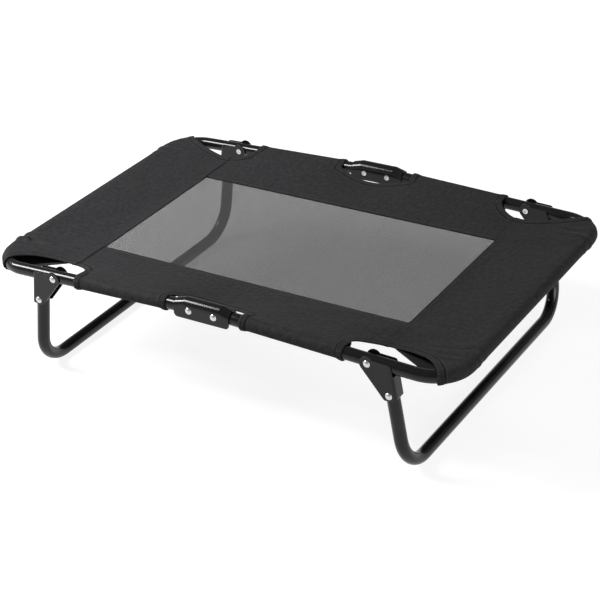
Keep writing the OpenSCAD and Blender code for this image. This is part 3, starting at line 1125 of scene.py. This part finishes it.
@dataclass
class SideStrip(ClothPanel):
    """Cloth strip between the mesh and one side tube of one half, with its pocket round the tube."""

    row: Row
    flat_rows: int = 24
    wrap_steps: int = 18
    lower_steps: int = 14
    hinge_lines: int = 20
    sleeve_lines: int = 45
    cut_lines: int = 14

    @property
    def name(self) -> str:
        """Name of the strip's node."""
        return f"{self.row.label}_{self.half.label}_side_strip"

    def columns(self) -> list[float]:
        """Divide the strip along the cot.

        Returns:
            The places along X of the strip's lines of points.
        """
        shape = self.shape
        turn = np.linspace(0.0, math.pi / 2, self.cut_lines)[1:]
        radius = shape.mesh_x - shape.sleeve_end
        beside_hinge = np.linspace(0.0, shape.sleeve_start, self.hinge_lines)
        sleeve = np.linspace(shape.sleeve_start, shape.sleeve_end, self.sleeve_lines)[1:]
        cut_out = shape.mesh_x - radius * np.cos(turn)
        lap = [shape.mesh_x + 0.5 * shape.seam_lap, shape.mesh_x + shape.seam_lap]
        return [*beside_hinge, *sleeve, *cut_out, *lap]

    def place(self, x: float, y: float, z: float) -> Triple:
        """Return a point of the first quarter moved to this strip's quarter."""
        return self.half.value * x, self.row.value * y, z

    def flat_line(self, x: float) -> list[int]:
        """Lay the line from the mesh to the strip's edge, or to where its sleeve begins.

        Args:
            x: Place along X.

        Returns:
            Point numbers from the mesh outwards.
        """
        shape = self.shape
        reach = shape.strip_edge(x) - shape.mesh_y
        line = []
        for share in np.linspace(0.0, 1.0, self.flat_rows):
            y = shape.mesh_y + reach * share
            line.append(self.layout.add(self.place(x, y, shape.strip_z(x, y)), x, y - shape.mesh_y))
        return line

    def sleeve_line(self, x: float, start: int) -> list[int]:
        """Lay the line over the tube, round it and back under the strip.

        Args:
            x: Place along X.
            start: Number of the point where the flat part ends.

        Returns:
            Point numbers from the flat part's end to the join of the two layers.
        """
        shape = self.shape
        axis_z = shape.tube_z(x)
        pinch_y = shape.pinch_y(x)
        begin = np.array([shape.sleeve_y - shape.side_y, shape.strip_z(x, shape.sleeve_y) - axis_z])
        pinch = np.array([pinch_y - shape.side_y, shape.strip_z(x, pinch_y) - shape.layer_gap - axis_z])
        first = math.pi / 2 + shape.strip_angle(x)
        last = math.atan2(pinch[1], pinch[0]) % (2 * math.pi) - 2 * math.pi
        last += math.acos(shape.wrap_r / math.hypot(*pinch))
        bottom = shape.round_tube(last)
        local = [(begin + shape.round_tube(first)) / 2]
        local.extend(shape.round_tube(turn) for turn in np.linspace(first, last, self.wrap_steps + 1))
        for share in np.linspace(0.0, 1.0, self.lower_steps + 1)[1:]:
            local.append(bottom + (pinch - bottom) * share)
        line = [start]
        run = shape.sleeve_y - shape.mesh_y
        for before, point in zip([begin, *local], local):
            run += math.hypot(*(point - before))
            y, z = point
            line.append(self.layout.add(self.place(x, shape.side_y + y, axis_z + z), x, run))
        return line

    def lay_out(self) -> None:
        """Lay the strip and its sleeve and note the hemmed edges and the border of the mesh."""
        shape = self.shape
        flip = self.half.value * self.row.value > 0
        xs = self.columns()
        flats = [self.flat_line(x) for x in xs]
        self.layout.skin(flats, flip)
        sleeved = [k for k, x in enumerate(xs) if shape.sleeve_start - NEAR <= x <= shape.sleeve_end + NEAR]
        sleeves = [self.sleeve_line(xs[k], flats[k][-1]) for k in sleeved]
        self.layout.skin(sleeves, flip)
        centre = range(0, sleeved[0])
        leg = range(len(xs) - 1, sleeved[-1], -1)
        for cut, end, inside in ((centre, 0, INSIDE), (leg, -1, -1 - INSIDE)):
            edge = [flats[k][-1] for k in cut] + sleeves[end]
            within = [flats[k][-1 - INSIDE] for k in cut] + sleeves[inside]
            self.edges.append(self.layout.edge(edge, within))
        self.note_border([line for x, line in zip(xs, flats) if x <= shape.mesh_x + NEAR])

    def seam_row(self, stitching: Stitching) -> Arrays:
        """Place the stitches beside the mesh.

        Args:
            stitching: Sizes of the stitches.

        Returns:
            Points and outward directions.
        """
        shape = self.shape
        y = shape.mesh_y + stitching.inset
        line = []
        for x in np.arange(stitching.pitch / 2, shape.mesh_x, stitching.pitch):
            line.append(self.place(x, y, shape.strip_z(x, y) + 0.5 * shape.cloth + stitching.lift))
        return np.array(line), np.tile(UP, (len(line), 1))


@dataclass(frozen=True)
class Crease:
    """Crease or ridge near a corner of an end panel, with its sizes in mm.

    It starts at a distance from the cot's middle line and leans with the distance from the tube.
    """

    start: float
    lean: float
    width: float
    height: float
    fade: float
    loose: bool = False


@dataclass(frozen=True)
class CornerSlack:
    """Loose cloth at the corners of an end panel, with its sizes in mm."""

    looseness: ClassVar[dict[tuple[Half, Row], float]] = {
        (Half.LEFT, Row.FRONT): 1.0,
        (Half.RIGHT, Row.FRONT): 0.3,
        (Half.LEFT, Row.REAR): 0.5,
        (Half.RIGHT, Row.REAR): 0.45,
    }
    creases: ClassVar[tuple[Crease, ...]] = (
        Crease(206.5, 0.10, 3.0, -8.0, 30.0, loose=True),
        Crease(216.5, 0.10, 4.5, 2.6, 48.0),
        Crease(229.0, 0.05, 5.0, -1.6, 55.0),
        Crease(241.0, -0.02, 4.5, 1.5, 50.0),
        Crease(252.0, -0.08, 4.0, -1.0, 40.0),
        Crease(194.0, 0.14, 7.0, 1.4, 60.0),
        Crease(176.0, 0.22, 9.0, -0.9, 60.0),
    )
    half: Half
    # How much the creases differ from corner to corner, and the phases that tell the corners apart.
    uneven: float = 0.25
    half_phase: float = 2.1
    row_phase: float = 1.3
    # Distance from the tube's axis up to which the creases keep their full height.
    full_reach: float = 12.0
    # Broad ripples of the whole panel and narrower ones, by the distance across and from the tube.
    broad: float = 0.7
    broad_y: float = 37.0
    broad_phase: float = 0.4
    broad_x: float = 24.0
    narrow: float = 0.35
    narrow_y: float = 15.0
    narrow_lean: float = 29.0
    narrow_x: float = 13.0
    # Where the tube and the seam hold the cloth.
    tube_hold: float = 3.0
    tube_run: float = 11.0
    seam_run: float = 25.0
    # Bulges over the tube: one before the bend, and the loose cloth round it with its fine waves.
    before: float = 1.5
    before_y: float = 195.0
    before_width: float = 5.0
    after: float = 0.9
    after_wave: float = 0.3
    wave_y: float = 2.6
    crown: float = 3.0
    crown_y: float = 214.0
    crown_width: float = 7.0
    after_start: float = 206.0
    after_run: float = 8.0
    hem_share: float = 0.35
    hem_run: float = 14.0

    def at(self, y: float) -> float:
        """Return how loose the cloth is at the corner on y's side, with 1 for the loosest corner."""
        return self.looseness[self.half, Row.REAR if y > 0.0 else Row.FRONT]

    def folds(self, y: float, off_tube: float, off_seam: float) -> float:
        """Find how high the cloth's creases and ripples stand.

        Args:
            y: Place across the cot.
            off_tube: Distance inside the tube's axis.
            off_seam: Distance from the panel's inner seam.

        Returns:
            The height over the taut cloth.
        """
        reach = abs(y) / MM
        inward = off_tube / MM
        height = 0.0
        for crease in self.creases:
            off = (reach - crease.start - crease.lean * inward) / crease.width
            phase = crease.start + self.half_phase * self.half.value + math.copysign(self.row_phase, y)
            size = crease.height * self.at(y) if crease.loose else crease.height
            fade = max(0.0, inward - self.full_reach) / crease.fade
            height += (1.0 + self.uneven * math.sin(phase)) * size * math.exp(-0.5 * off * off - fade)
        ripple = self.broad * math.sin(reach / self.broad_y + self.broad_phase)
        ripple *= math.sin(inward / self.broad_x)
        small = self.narrow * math.sin(reach / self.narrow_y + inward / self.narrow_lean)
        ripple += small * math.sin(inward / self.narrow_x)
        held = ease((inward - self.tube_hold) / self.tube_run) * ease(off_seam / (self.seam_run * MM))
        return (height + ripple) * held * MM

    def bulge(self, y: float, along: float) -> float:
        """Find how far the cloth stands off the tube near a corner.

        Args:
            y: Place of the tube's axis across the cot.
            along: Distance from the hem along the tube.

        Returns:
            Extra radius on top of the tube and outside it.
        """
        reach = abs(y) / MM
        before = self.before * bell((reach - self.before_y) / self.before_width)
        after = self.after + self.after_wave * math.sin(reach / self.wave_y)
        after += self.crown * bell((reach - self.crown_y) / self.crown_width)
        after *= ease((reach - self.after_start) / self.after_run)
        open_share = self.hem_share + (1.0 - self.hem_share) * ease(along / (self.hem_run * MM))
        return self.at(y) * (before + after) * MM * open_share


@dataclass
class EndPanel(ClothPanel):
    """Cloth panel at one end, sewn over the strips and the mesh, with its pocket round the end tube."""

    # Points of the cut-out edges beside the legs, in mm.
    mouths: ClassVar[dict[Row, tuple[Triple, ...]]] = {
        Row.REAR: (
            (319.0, 242.5, 200.8),
            (350.0, 250.0, 203.5),
            (380.0, 262.0, 206.5),
            (396.0, 270.0, 208.0),
            (406.0, 276.0, 209.0),
        ),
        Row.FRONT: (
            (319.0, 240.5, 199.3),
            (350.0, 241.5, 200.5),
            (380.0, 251.0, 204.0),
            (396.0, 262.0, 206.4),
            (406.0, 272.5, 208.5),
        ),
    }
    flat_rows: int = 38
    wrap_steps: int = 16
    lower_steps: int = 16
    bend_lines: int = 14
    near_lines: int = 33
    far_lines: int = 34
    near_run: float = 48.0 * MM
    seam_lift: float = 1.2 * MM
    lift_start: float = 150.0 * MM
    lift_run: float = 9.0 * MM
    # How far past the mesh's corner the painted shade along the mesh border reaches.
    tape_end: float = 4.0 * MM
    calm_lines: float = 4.0
    crest_power: int = 5
    # In degrees: the sleeve ends a little past the tube's underside, and its slack goes on the way down.
    wrap_end: float = -96.0
    slack_end: float = -90.0
    slack_turn: float = 70.0
    least_slack: float = 0.25
    # Where the layers join: shares of the way from the seam to the tube, more within mouth_share of a hem.
    mouth_share: float = 0.06
    pinch_share: float = 0.04
    mouth_pinch: float = 0.1
    lower_sag: float = 2.5 * MM
    stitch_end: float = 10.0 * MM
    stitch_slope: float = math.radians(4.5)

    @property
    def name(self) -> str:
        """Name of the panel's node."""
        return f"{self.half.label}_end_panel"

    def stations(self) -> Arrays:
        """Follow the tube from hem to hem.

        Returns:
            Points on the tube's axis and the directions out of the cot, in the right half.
        """
        shape = self.shape
        centre_x = shape.end_x - shape.bend_r
        centre_y = shape.side_y - shape.bend_r
        turns = np.linspace(shape.hem_turn, 0.0, self.bend_lines)[:-1]
        near = np.linspace(centre_y, centre_y - self.near_run, self.near_lines)
        far = np.linspace(near[-1], -near[-1], self.far_lines)[1:-1]
        rear = [(math.cos(t), math.sin(t), centre_x, centre_y) for t in turns]
        straight = [(1.0, 0.0, centre_x, y) for y in (*near, *far, *reversed(-near))]
        front = [(math.cos(t), -math.sin(t), centre_x, -centre_y) for t in reversed(turns)]
        rows = np.array(rear + straight + front)
        normals = np.hstack([rows[:, :2], np.zeros((len(rows), 1))])
        plan = rows[:, 2:] + rows[:, :2] * shape.bend_r
        heights = np.array([shape.tube_z(x) for x in plan[:, 0]])
        return np.column_stack([plan, heights]), normals

    def seam(self, y: float) -> Triple:
        """Find a point of the panel's inner edge.

        Args:
            y: Place across the cot.

        Returns:
            The point in the right half.
        """
        shape = self.shape
        reach = abs(y)
        z = shape.mesh_z + shape.lift
        if reach > shape.mesh_y:
            z = shape.strip_z(shape.mesh_x, reach)
        return shape.mesh_x, y, z + self.seam_lift * ease((reach - self.lift_start) / self.lift_run)

    def cut_out(self, row: Row) -> np.ndarray:
        """Follow the panel's edge beside one leg, from its seam to the top of the tube.

        Args:
            row: Side of the cot that the leg stands on.

        Returns:
            Points of the edge in the right half.
        """
        shape = self.shape
        turn = shape.hem_turn
        hem_x = shape.end_x - shape.bend_r + shape.bend_r * math.cos(turn)
        hem_y = shape.side_y - shape.bend_r + shape.bend_r * math.sin(turn)
        points = [
            self.seam(shape.leg_cut),
            *((x * MM, y * MM, z * MM) for x, y, z in self.mouths[row]),
            (hem_x, hem_y, shape.tube_z(hem_x) + shape.wrap_r),
        ]
        return smooth_line(points, self.flat_rows) * np.array([1.0, row.value, 1.0])

    def off_tube(self, x: float, y: float) -> float:
        """Find how far inside the tube's axis a place of the first quarter lies in plan.

        Args:
            x: Place along the cot.
            y: Place across the cot.

        Returns:
            The distance from the axis.
        """
        shape = self.shape
        past_bend = y - (shape.side_y - shape.bend_r)
        if past_bend <= 0.0:
            return shape.end_x - x
        return shape.bend_r - math.hypot(max(0.0, x - shape.end_x + shape.bend_r), past_bend)

    def upper_layer(self, axis: np.ndarray, share: np.ndarray, loose: np.ndarray) -> np.ndarray:
        """Stretch the upper layer between the seam, the two cut-outs and the top of the tube.

        Args:
            axis: Points of the tube's axis from hem to hem.
            share: Place of each point between the two hems, 0 to 1.
            loose: How far the cloth stands off the tube at each point.

        Returns:
            Points in rows from the seam to the tube, with one column for each point of the axis.
        """
        shape = self.shape
        slack = CornerSlack(self.half)
        seam = np.array([self.seam(shape.leg_cut * (1.0 - 2.0 * t)) for t in share])
        crest = axis + shape.wrap_r * UP
        rear, front = (self.cut_out(row)[:, None, :] for row in (Row.REAR, Row.FRONT))
        side = np.linspace(0.0, 1.0, self.flat_rows)[:, None, None]
        t = share[None, :, None]
        upper = (1 - side) * seam[None] + side * crest[None] + (1 - t) * rear + t * front
        seam_part = (1 - side) * ((1 - t) * seam[0] + t * seam[-1])
        crest_part = side * ((1 - t) * crest[0] + t * crest[-1])
        upper -= seam_part + crest_part
        last = len(axis) - 1
        for j in range(len(axis)):
            calm = ease((min(j, last - j) - 1.0) / self.calm_lines)
            for k in range(1, self.flat_rows - 1):
                x, y = upper[k, j, :2]
                upper[k, j, 2] += calm * slack.folds(y, self.off_tube(x, abs(y)), x - shape.mesh_x)
        upper[:, :, 2] += loose[None] * side[:, :, 0] ** self.crest_power
        return upper

    def section(
        self, upper: np.ndarray, axis: np.ndarray, outward: np.ndarray, loose: float, share: float
    ) -> list[int]:
        """Lay one line over the tube, round it and back to the seam.

        Args:
            upper: Points of the upper layer, from the seam to the top of the tube.
            axis: Point of the tube's axis.
            outward: Direction out of the cot there.
            loose: How far the cloth stands off the tube there.
            share: Place between the two hems, 0 to 1.

        Returns:
            Point numbers from the seam round to the join of the two layers.
        """
        shape = self.shape
        rest = [upper[-1]]
        for turn in np.linspace(math.pi / 2, math.radians(self.wrap_end), self.wrap_steps + 1)[1:]:
            drawn_in = ease((math.degrees(turn) - self.slack_end) / self.slack_turn)
            radius = shape.wrap_r + loose * (self.least_slack + (1.0 - self.least_slack) * drawn_in)
            rest.append(axis + radius * (math.cos(turn) * outward + math.sin(turn) * UP))
        mouth = 1.0 - ease(min(share, 1.0 - share) / self.mouth_share)
        step = (self.pinch_share + self.mouth_pinch * mouth) * (self.flat_rows - 1)
        low = int(step)
        pinch = upper[low] + (upper[low + 1] - upper[low]) * (step - low) - shape.layer_gap * UP
        bottom = rest[-1]
        for part in np.linspace(0.0, 1.0, self.lower_steps + 1)[1:]:
            sag = self.lower_sag * (1.0 - mouth) * 4.0 * part * (1.0 - part)
            rest.append(bottom + (pinch - bottom) * part - sag * UP)
        mirror = np.array([self.half.value, 1.0, 1.0])
        line = [self.layout.add(mirror * point, point[1], point[0] - shape.mesh_x) for point in upper]
        run = upper[-1][0] - shape.mesh_x
        for before, point in zip(rest, rest[1:]):
            run += float(np.linalg.norm(point - before))
            line.append(self.layout.add(mirror * point, upper[-1][1], run))
        return line

    def lay_out(self) -> None:
        """Lay both layers of the panel and note the hemmed edges and the inner seam."""
        shape = self.shape
        slack = CornerSlack(self.half)
        axis, outward = self.stations()
        run = lengths_along(axis)
        shares = run / run[-1]
        loose = np.array([slack.bulge(point[1], min(s, run[-1] - s)) for point, s in zip(axis, run)])
        columns = self.upper_layer(axis, shares, loose).transpose(1, 0, 2)
        lines = [self.section(*station) for station in zip(columns, axis, outward, loose, shares)]
        self.layout.skin(lines, self.half is Half.LEFT)
        hemmed = self.flat_rows + self.wrap_steps
        for end, inside in ((0, INSIDE), (-1, -1 - INSIDE)):
            self.edges.append(self.layout.edge(lines[end][:hemmed], lines[inside][:hemmed]))
        reach = shape.mesh_y + self.tape_end
        self.note_border(
            [line for line, t in zip(lines, shares) if abs(shape.leg_cut * (1.0 - 2.0 * t)) < reach]
        )

    def seam_row(self, stitching: Stitching) -> Arrays:
        """Place the stitches along the inner edge.

        Args:
            stitching: Sizes of the stitches.

        Returns:
            Points and outward directions.
        """
        shape = self.shape
        reach = shape.leg_cut - self.stitch_end
        rise = math.tan(self.stitch_slope) * stitching.inset
        line = []
        for place in np.arange(-reach, reach, stitching.pitch):
            x, y, z = self.seam(float(place))
            height = z + rise + 0.5 * shape.cloth + stitching.lift
            line.append((self.half.value * (x + stitching.inset), y, height))
        return np.array(line), np.tile(UP, (len(line), 1))


class NetPart(Enum):
    """The parts of a mesh quarter: the one beside the middle fold, and the one beyond it."""

    FOLDING = "folding"
    FLAT = "flat"


@dataclass
class MeshNet:
    """One part of a quarter of the woven mesh, with every yarn."""

    shape: CoverShape
    half: Half
    row: Row
    part: NetPart
    pitch: float = 1.9 * MM
    width: float = 1.2 * MM
    thick: float = 0.4 * MM
    rise: float = 0.2 * MM
    lap: float = 8.0 * MM
    sag: float = 1.0 * MM
    depth: float = 0.62 * MM
    split: int = 80

    @property
    def name(self) -> str:
        """Name of the part."""
        return f"{self.row.label}_{self.half.label}_{self.part.value}_net"

    @property
    def along(self) -> Pair:
        """Distances from the middle between which the part lies along the cot."""
        middle = self.split * self.pitch
        return (0.0, middle) if self.part is NetPart.FOLDING else (middle, self.shape.mesh_x + self.lap)

    @property
    def across(self) -> Pair:
        """Distances from the middle between which the part lies across the cot."""
        return 0.0, self.shape.mesh_y + self.lap

    def middle(self, x: np.ndarray, y: np.ndarray) -> np.ndarray:
        """Find the height of the middle of the mesh.

        Args:
            x: Places along the cot.
            y: Places across the cot.

        Returns:
            The heights.
        """
        shape = self.shape
        share_x = np.clip(np.abs(x) / shape.mesh_x, 0.0, 1.0)
        share_y = np.clip(np.abs(y) / shape.mesh_y, 0.0, 1.0)
        return shape.mesh_z - self.depth - self.sag * (1.0 - share_x**2) * (1.0 - share_y**2)

    def numbers(self, reach: Pair) -> np.ndarray:
        """Return the numbers of the yarns between two distances from the middle."""
        first, last = (math.ceil(distance / self.pitch - 0.5) for distance in reach)
        return np.arange(first, last)

    def yarns(self, spread: Pair, run: Pair, signs: tuple[int, int], over: int) -> Arrays:
        """Lay the yarns of one direction.

        Args:
            spread: Distances from the middle between which the yarns lie side by side.
            run: Distances from the middle between which each yarn runs.
            signs: Sides of the middle that the yarns spread and run to.
            over: 1 where the first crossing goes over, or -1.

        Returns:
            For each yarn, its place across and at each point along it, and the wave's height there.
        """
        first = self.numbers(spread)
        second = self.numbers(run)
        stops = np.concatenate([[run[0]], (second + 0.5) * self.pitch, [run[1]]])
        turn = first[:, None] + second[None, :] + sum(sign < 0 for sign in signs)
        wave = np.pad(over * np.where(turn % 2 == 0, self.rise, -self.rise), ((0, 0), (1, 1)))
        places = (first + 0.5) * self.pitch * signs[0]
        grid = np.stack(np.meshgrid(places, stops * signs[1], indexing="ij"), axis=-1)
        return grid, wave

    def tubes(self, grid: np.ndarray, wave: np.ndarray, along_x: bool, start: int) -> Arrays:
        """Turn yarn lines into closed four-sided tubes.

        Args:
            grid: Place across and along of each yarn's points.
            wave: Height of the weave at each point.
            along_x: Whether the yarns run along X.
            start: Number of the first point.

        Returns:
            Points and four-cornered faces.
        """
        x, y = (grid[..., 1], grid[..., 0]) if along_x else (grid[..., 0], grid[..., 1])
        centre = np.stack([x, y, self.middle(x, y) + wave], axis=-1)
        side = 0.5 * self.width * np.array([0.0, 1.0, 0.0] if along_x else [1.0, 0.0, 0.0])
        up = 0.5 * self.thick * UP
        rings = np.stack([centre + side, centre + up, centre - side, centre - up], axis=2)
        yarns, stops = centre.shape[:2]
        number = start + np.arange(yarns * stops * 4).reshape(yarns, stops, 4)
        turned = np.roll(number, -1, axis=2)
        walls = np.stack([number[:, :-1], turned[:, :-1], turned[:, 1:], number[:, 1:]], axis=-1)
        caps = np.concatenate([number[:, 0, ::-1], number[:, -1]])
        return rings.reshape(-1, 3), np.concatenate([walls.reshape(-1, 4), caps])

    def build(self, material: Material) -> Piece:
        """Weave the part.

        Args:
            material: The yarn's finish.

        Returns:
            The net.
        """
        warp = self.yarns(self.across, self.along, (self.row.value, self.half.value), 1)
        weft = self.yarns(self.along, self.across, (self.half.value, self.row.value), -1)
        points, faces = self.tubes(*warp, True, 0)
        more_points, more_faces = self.tubes(*weft, False, len(points))
        points = np.vstack([points, more_points])
        faces = np.vstack([faces, more_faces])
        piece = new_piece(self.name, points.tolist(), faces.tolist(), material)
        face_outwards(piece)
        return piece

    def flat_size(self) -> Pair:
        """Return the part's length and width."""
        return self.along[1] - self.along[0], self.across[1] - self.across[0]


@dataclass
class Cover:
    """The whole sewn cover: strips, end panels, mesh, hems, painted seam shade and stitches."""

    shape: CoverShape
    cloth: Material
    yarn: Material
    thread: Material
    # Dark finish of the painted seam shade.
    tape: Material
    stitching: Stitching = field(default_factory=Stitching)
    fold_reach: float = 45.0 * MM
    gather: float = 0.3

    def sew(self, panel: ClothPanel) -> list[Piece]:
        """Build a strip or end panel and sew its hems, dark strips of painted seam shade and stitches.

        Args:
            panel: The strip or panel.

        Returns:
            The cloth and then its trims.
        """
        piece = panel.build(self.cloth)
        hem = SewnBand(BandSection.HEM, gather=self.gather)
        rows = [hem.stitch_line(edge, self.stitching.pitch) for edge in panel.edges]
        rows.append(panel.seam_row(self.stitching))
        parts = [
            piece,
            hem.build(panel.name + "_hem", panel.edges, self.cloth),
            # Dark bands of painted shade: in the hems' seam grooves and along the mesh border.
            SewnBand(BandSection.HEM_SEAM).build(panel.name + "_hem_seam", panel.edges, self.tape),
            SewnBand(BandSection.BORDER_SEAM).build(panel.name + "_border_seam", panel.border, self.tape),
            self.stitching.build(panel.name + "_stitches", rows, self.thread),
        ]
        LOG.info("%s: cloth, hems, seams and stitches", panel.name)
        return parts

    def declare(self, panel: ClothPanel) -> None:
        """Measure the panel's flat size and area, which are not kept.

        Args:
            panel: The strip or panel.
        """
        panel.layout.flat_size()
        f"{panel.half.label}_frame_tube"
        panel.layout.flat_area()

    def carry(self, piece: Piece, half: Half) -> None:
        """Bake the place of a piece that reaches the middle into its mesh.

        Args:
            piece: The piece.
            half: Half of the cot that it lies on.
        """
        if half is Half.LEFT:
            half.body
            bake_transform(piece)
        else:
            half.body
            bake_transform(piece)

    def strip(self, half: Half, row: Row) -> None:
        """Make one side strip with its hems and stitches.

        Args:
            half: Half of the cot.
            row: Side of the cot.
        """
        strip = SideStrip(self.shape, half, row)
        parts = self.sew(strip)
        for part in parts:
            self.carry(part, half)
        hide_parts(strip.name)
        if half is Half.LEFT:
            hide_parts(f"{row.label}_fold_band")
        self.declare(strip)

    def end(self, half: Half) -> None:
        """Make one end panel with its hems and stitches.

        Args:
            half: Half of the cot.
        """
        panel = EndPanel(self.shape, half)
        parts = self.sew(panel)
        for part in parts:
            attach(part, half.body)
        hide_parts(panel.name)
        self.declare(panel)

    def net(self, half: Half, row: Row, part: NetPart) -> None:
        """Make one part of a quarter of the mesh.

        Args:
            half: Half of the cot.
            row: Side of the cot.
            part: Part of the quarter.
        """
        net = MeshNet(self.shape, half, row, part)
        piece = net.build(self.yarn)
        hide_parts(f"{half.label}_mesh_panel")
        if part is NetPart.FOLDING:
            self.carry(piece, half)
        else:
            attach(piece, half.body)
        if part is NetPart.FOLDING and half is Half.LEFT:
            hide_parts("mesh_fold_band")
        strip_cloth = f"{row.label}_{half.label}_side_strip_cloth"
        net.flat_size()
        LOG.info("%s: woven mesh", net.name)

    def build(self) -> None:
        """Make every piece of the cover."""
        for half in Half:
            self.end(half)
            for row in Row:
                self.strip(half, row)
                for part in NetPart:
                    self.net(half, row, part)


@dataclass
class MetalFrame:
    """The tubes, brackets and rivets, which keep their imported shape."""

    nodes: dict[str, Piece]
    finishes: dict[str, Material]
    slots: dict[str, str]

    def dress(self) -> None:
        """Give every metal node its finish."""
        for name, node in self.nodes.items():
            finish = self.finishes.get(self.slots[name])
            if finish is None:
                continue
            if not node.material_slots:
                node.data.materials.append(finish)
            for slot in node.material_slots:
                slot.material = finish
            LOG.info("%s: %s", name, finish.name)


@dataclass(frozen=True)
class SoftLamp:
    """A soft lamp with its power in watts, its length and width, its place and the point it faces."""

    name: str
    power: float
    size: Pair
    place: Triple
    aim: Triple

    def hang(self) -> None:
        """Hang the lamp with its length level."""
        data = bpy.data.lights.new(self.name, "AREA")
        data.energy = self.power
        data.shape = "RECTANGLE"
        data.size, data.size_y = self.size
        lamp = link(self.name, data)
        lamp.location = self.place
        lamp.rotation_euler = (Vector(self.aim) - Vector(self.place)).to_track_quat("-Z", "Y").to_euler()


@dataclass
class Studio:
    """White floor, soft light and the camera at the photograph's angle."""

    floor_size: float = 40.0
    lens: float = 99.76
    sensor: float = 36.0
    azimuth: float = math.radians(32.623)
    elevation: float = math.radians(29.176)
    roll: float = math.radians(-3.126)
    target: Triple = (0.03197, -0.05626, 0.120)
    distance: float = 2.87643
    wall: float = 1.0
    wall_top: float = math.radians(4.0)
    sky: float = 0.22
    sky_start: float = math.radians(13.0)
    lamps: tuple[SoftLamp, ...] = (
        SoftLamp("key", power=166.0, size=(2.2, 0.7), place=(-2.19, -0.85, 1.9), aim=(-2.19, 0.0, 0.0)),
        SoftLamp("fill", power=27.0, size=(1.6, 1.1), place=(2.4, -0.6, 0.75), aim=(0.45, 0.0, 0.1)),
    )

    def floor(self) -> None:
        """Lay the floor."""
        deselect_all()
        bpy.ops.mesh.primitive_plane_add(size=self.floor_size, location=(0.0, 0.0, 0.0))
        floor = bpy.context.object
        floor.name = "studio_floor"
        floor.data.materials.append(StudioFloor().material())

    def world(self) -> None:
        """Light the room by a white wall all round, under a dim ceiling."""
        world = bpy.data.worlds.new("studio")
        bpy.context.scene.world = world
        world.use_nodes = True
        tree = world.node_tree
        light = tree.nodes["Background"]
        light.inputs["Color"].default_value = WHITE
        direction = tree.nodes.new("ShaderNodeTexCoord")
        split = tree.nodes.new("ShaderNodeSeparateXYZ")
        level = tree.nodes.new("ShaderNodeMapRange")
        level.inputs["From Min"].default_value = math.sin(self.wall_top)
        level.inputs["From Max"].default_value = math.sin(self.sky_start)
        level.inputs["To Min"].default_value = self.wall
        level.inputs["To Max"].default_value = self.sky
        tree.links.new(direction.outputs["Generated"], split.inputs[0])
        tree.links.new(split.outputs["Z"], level.inputs["Value"])
        tree.links.new(level.outputs[0], light.inputs["Strength"])

    def camera(self) -> None:
        """Stand the camera where the photograph was taken."""
        flat = math.cos(self.elevation)
        back = Vector(
            (math.sin(self.azimuth) * flat, -math.cos(self.azimuth) * flat, math.sin(self.elevation))
        )
        right = Vector((math.cos(self.azimuth), math.sin(self.azimuth), 0.0))
        up = back.cross(right)
        turned_right = math.cos(self.roll) * right + math.sin(self.roll) * up
        turned_up = math.cos(self.roll) * up - math.sin(self.roll) * right
        data = bpy.data.cameras.new("camera")
        data.lens = self.lens
        data.sensor_width = self.sensor
        data.sensor_fit = "HORIZONTAL"
        camera = link("camera", data)
        turn = Matrix((turned_right, turned_up, back)).transposed().to_4x4()
        camera.matrix_world = Matrix.Translation(Vector(self.target) + back * self.distance) @ turn
        bpy.context.scene.camera = camera

    def build(self) -> None:
        """Set the studio up."""
        self.camera()
        self.floor()
        self.world()
        for lamp in self.lamps:
            lamp.hang()
        bpy.context.scene.view_settings.view_transform = "Standard"
        LOG.info("studio: floor, light and camera")


def main() -> None:
    """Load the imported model, dress it and set up the studio."""
    logging.basicConfig(level=logging.INFO, format="%(name)s: %(message)s")
    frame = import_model()
    Studio().build()
    finishes = {Slot.PAINT.value: GlossPaint().material(), Slot.RIVET.value: ZincPlate().material()}
    slots = {part["node"]: part["material_slot"] for part in frame["record"]["subparts"]}
    MetalFrame(frame["nodes"], finishes, slots).dress()
    cover = Cover(
        shape=CoverShape.from_frame(frame),
        cloth=OxfordCloth().material(),
        yarn=MeshYarn().material(),
        thread=SewingThread().material(),
        # Dark finish of the painted shade in the hems' seams and along the mesh.
        tape=SeamTape().material(),
    )
    cover.build()
    deselect_all()


if __name__ == "__main__":
    main()
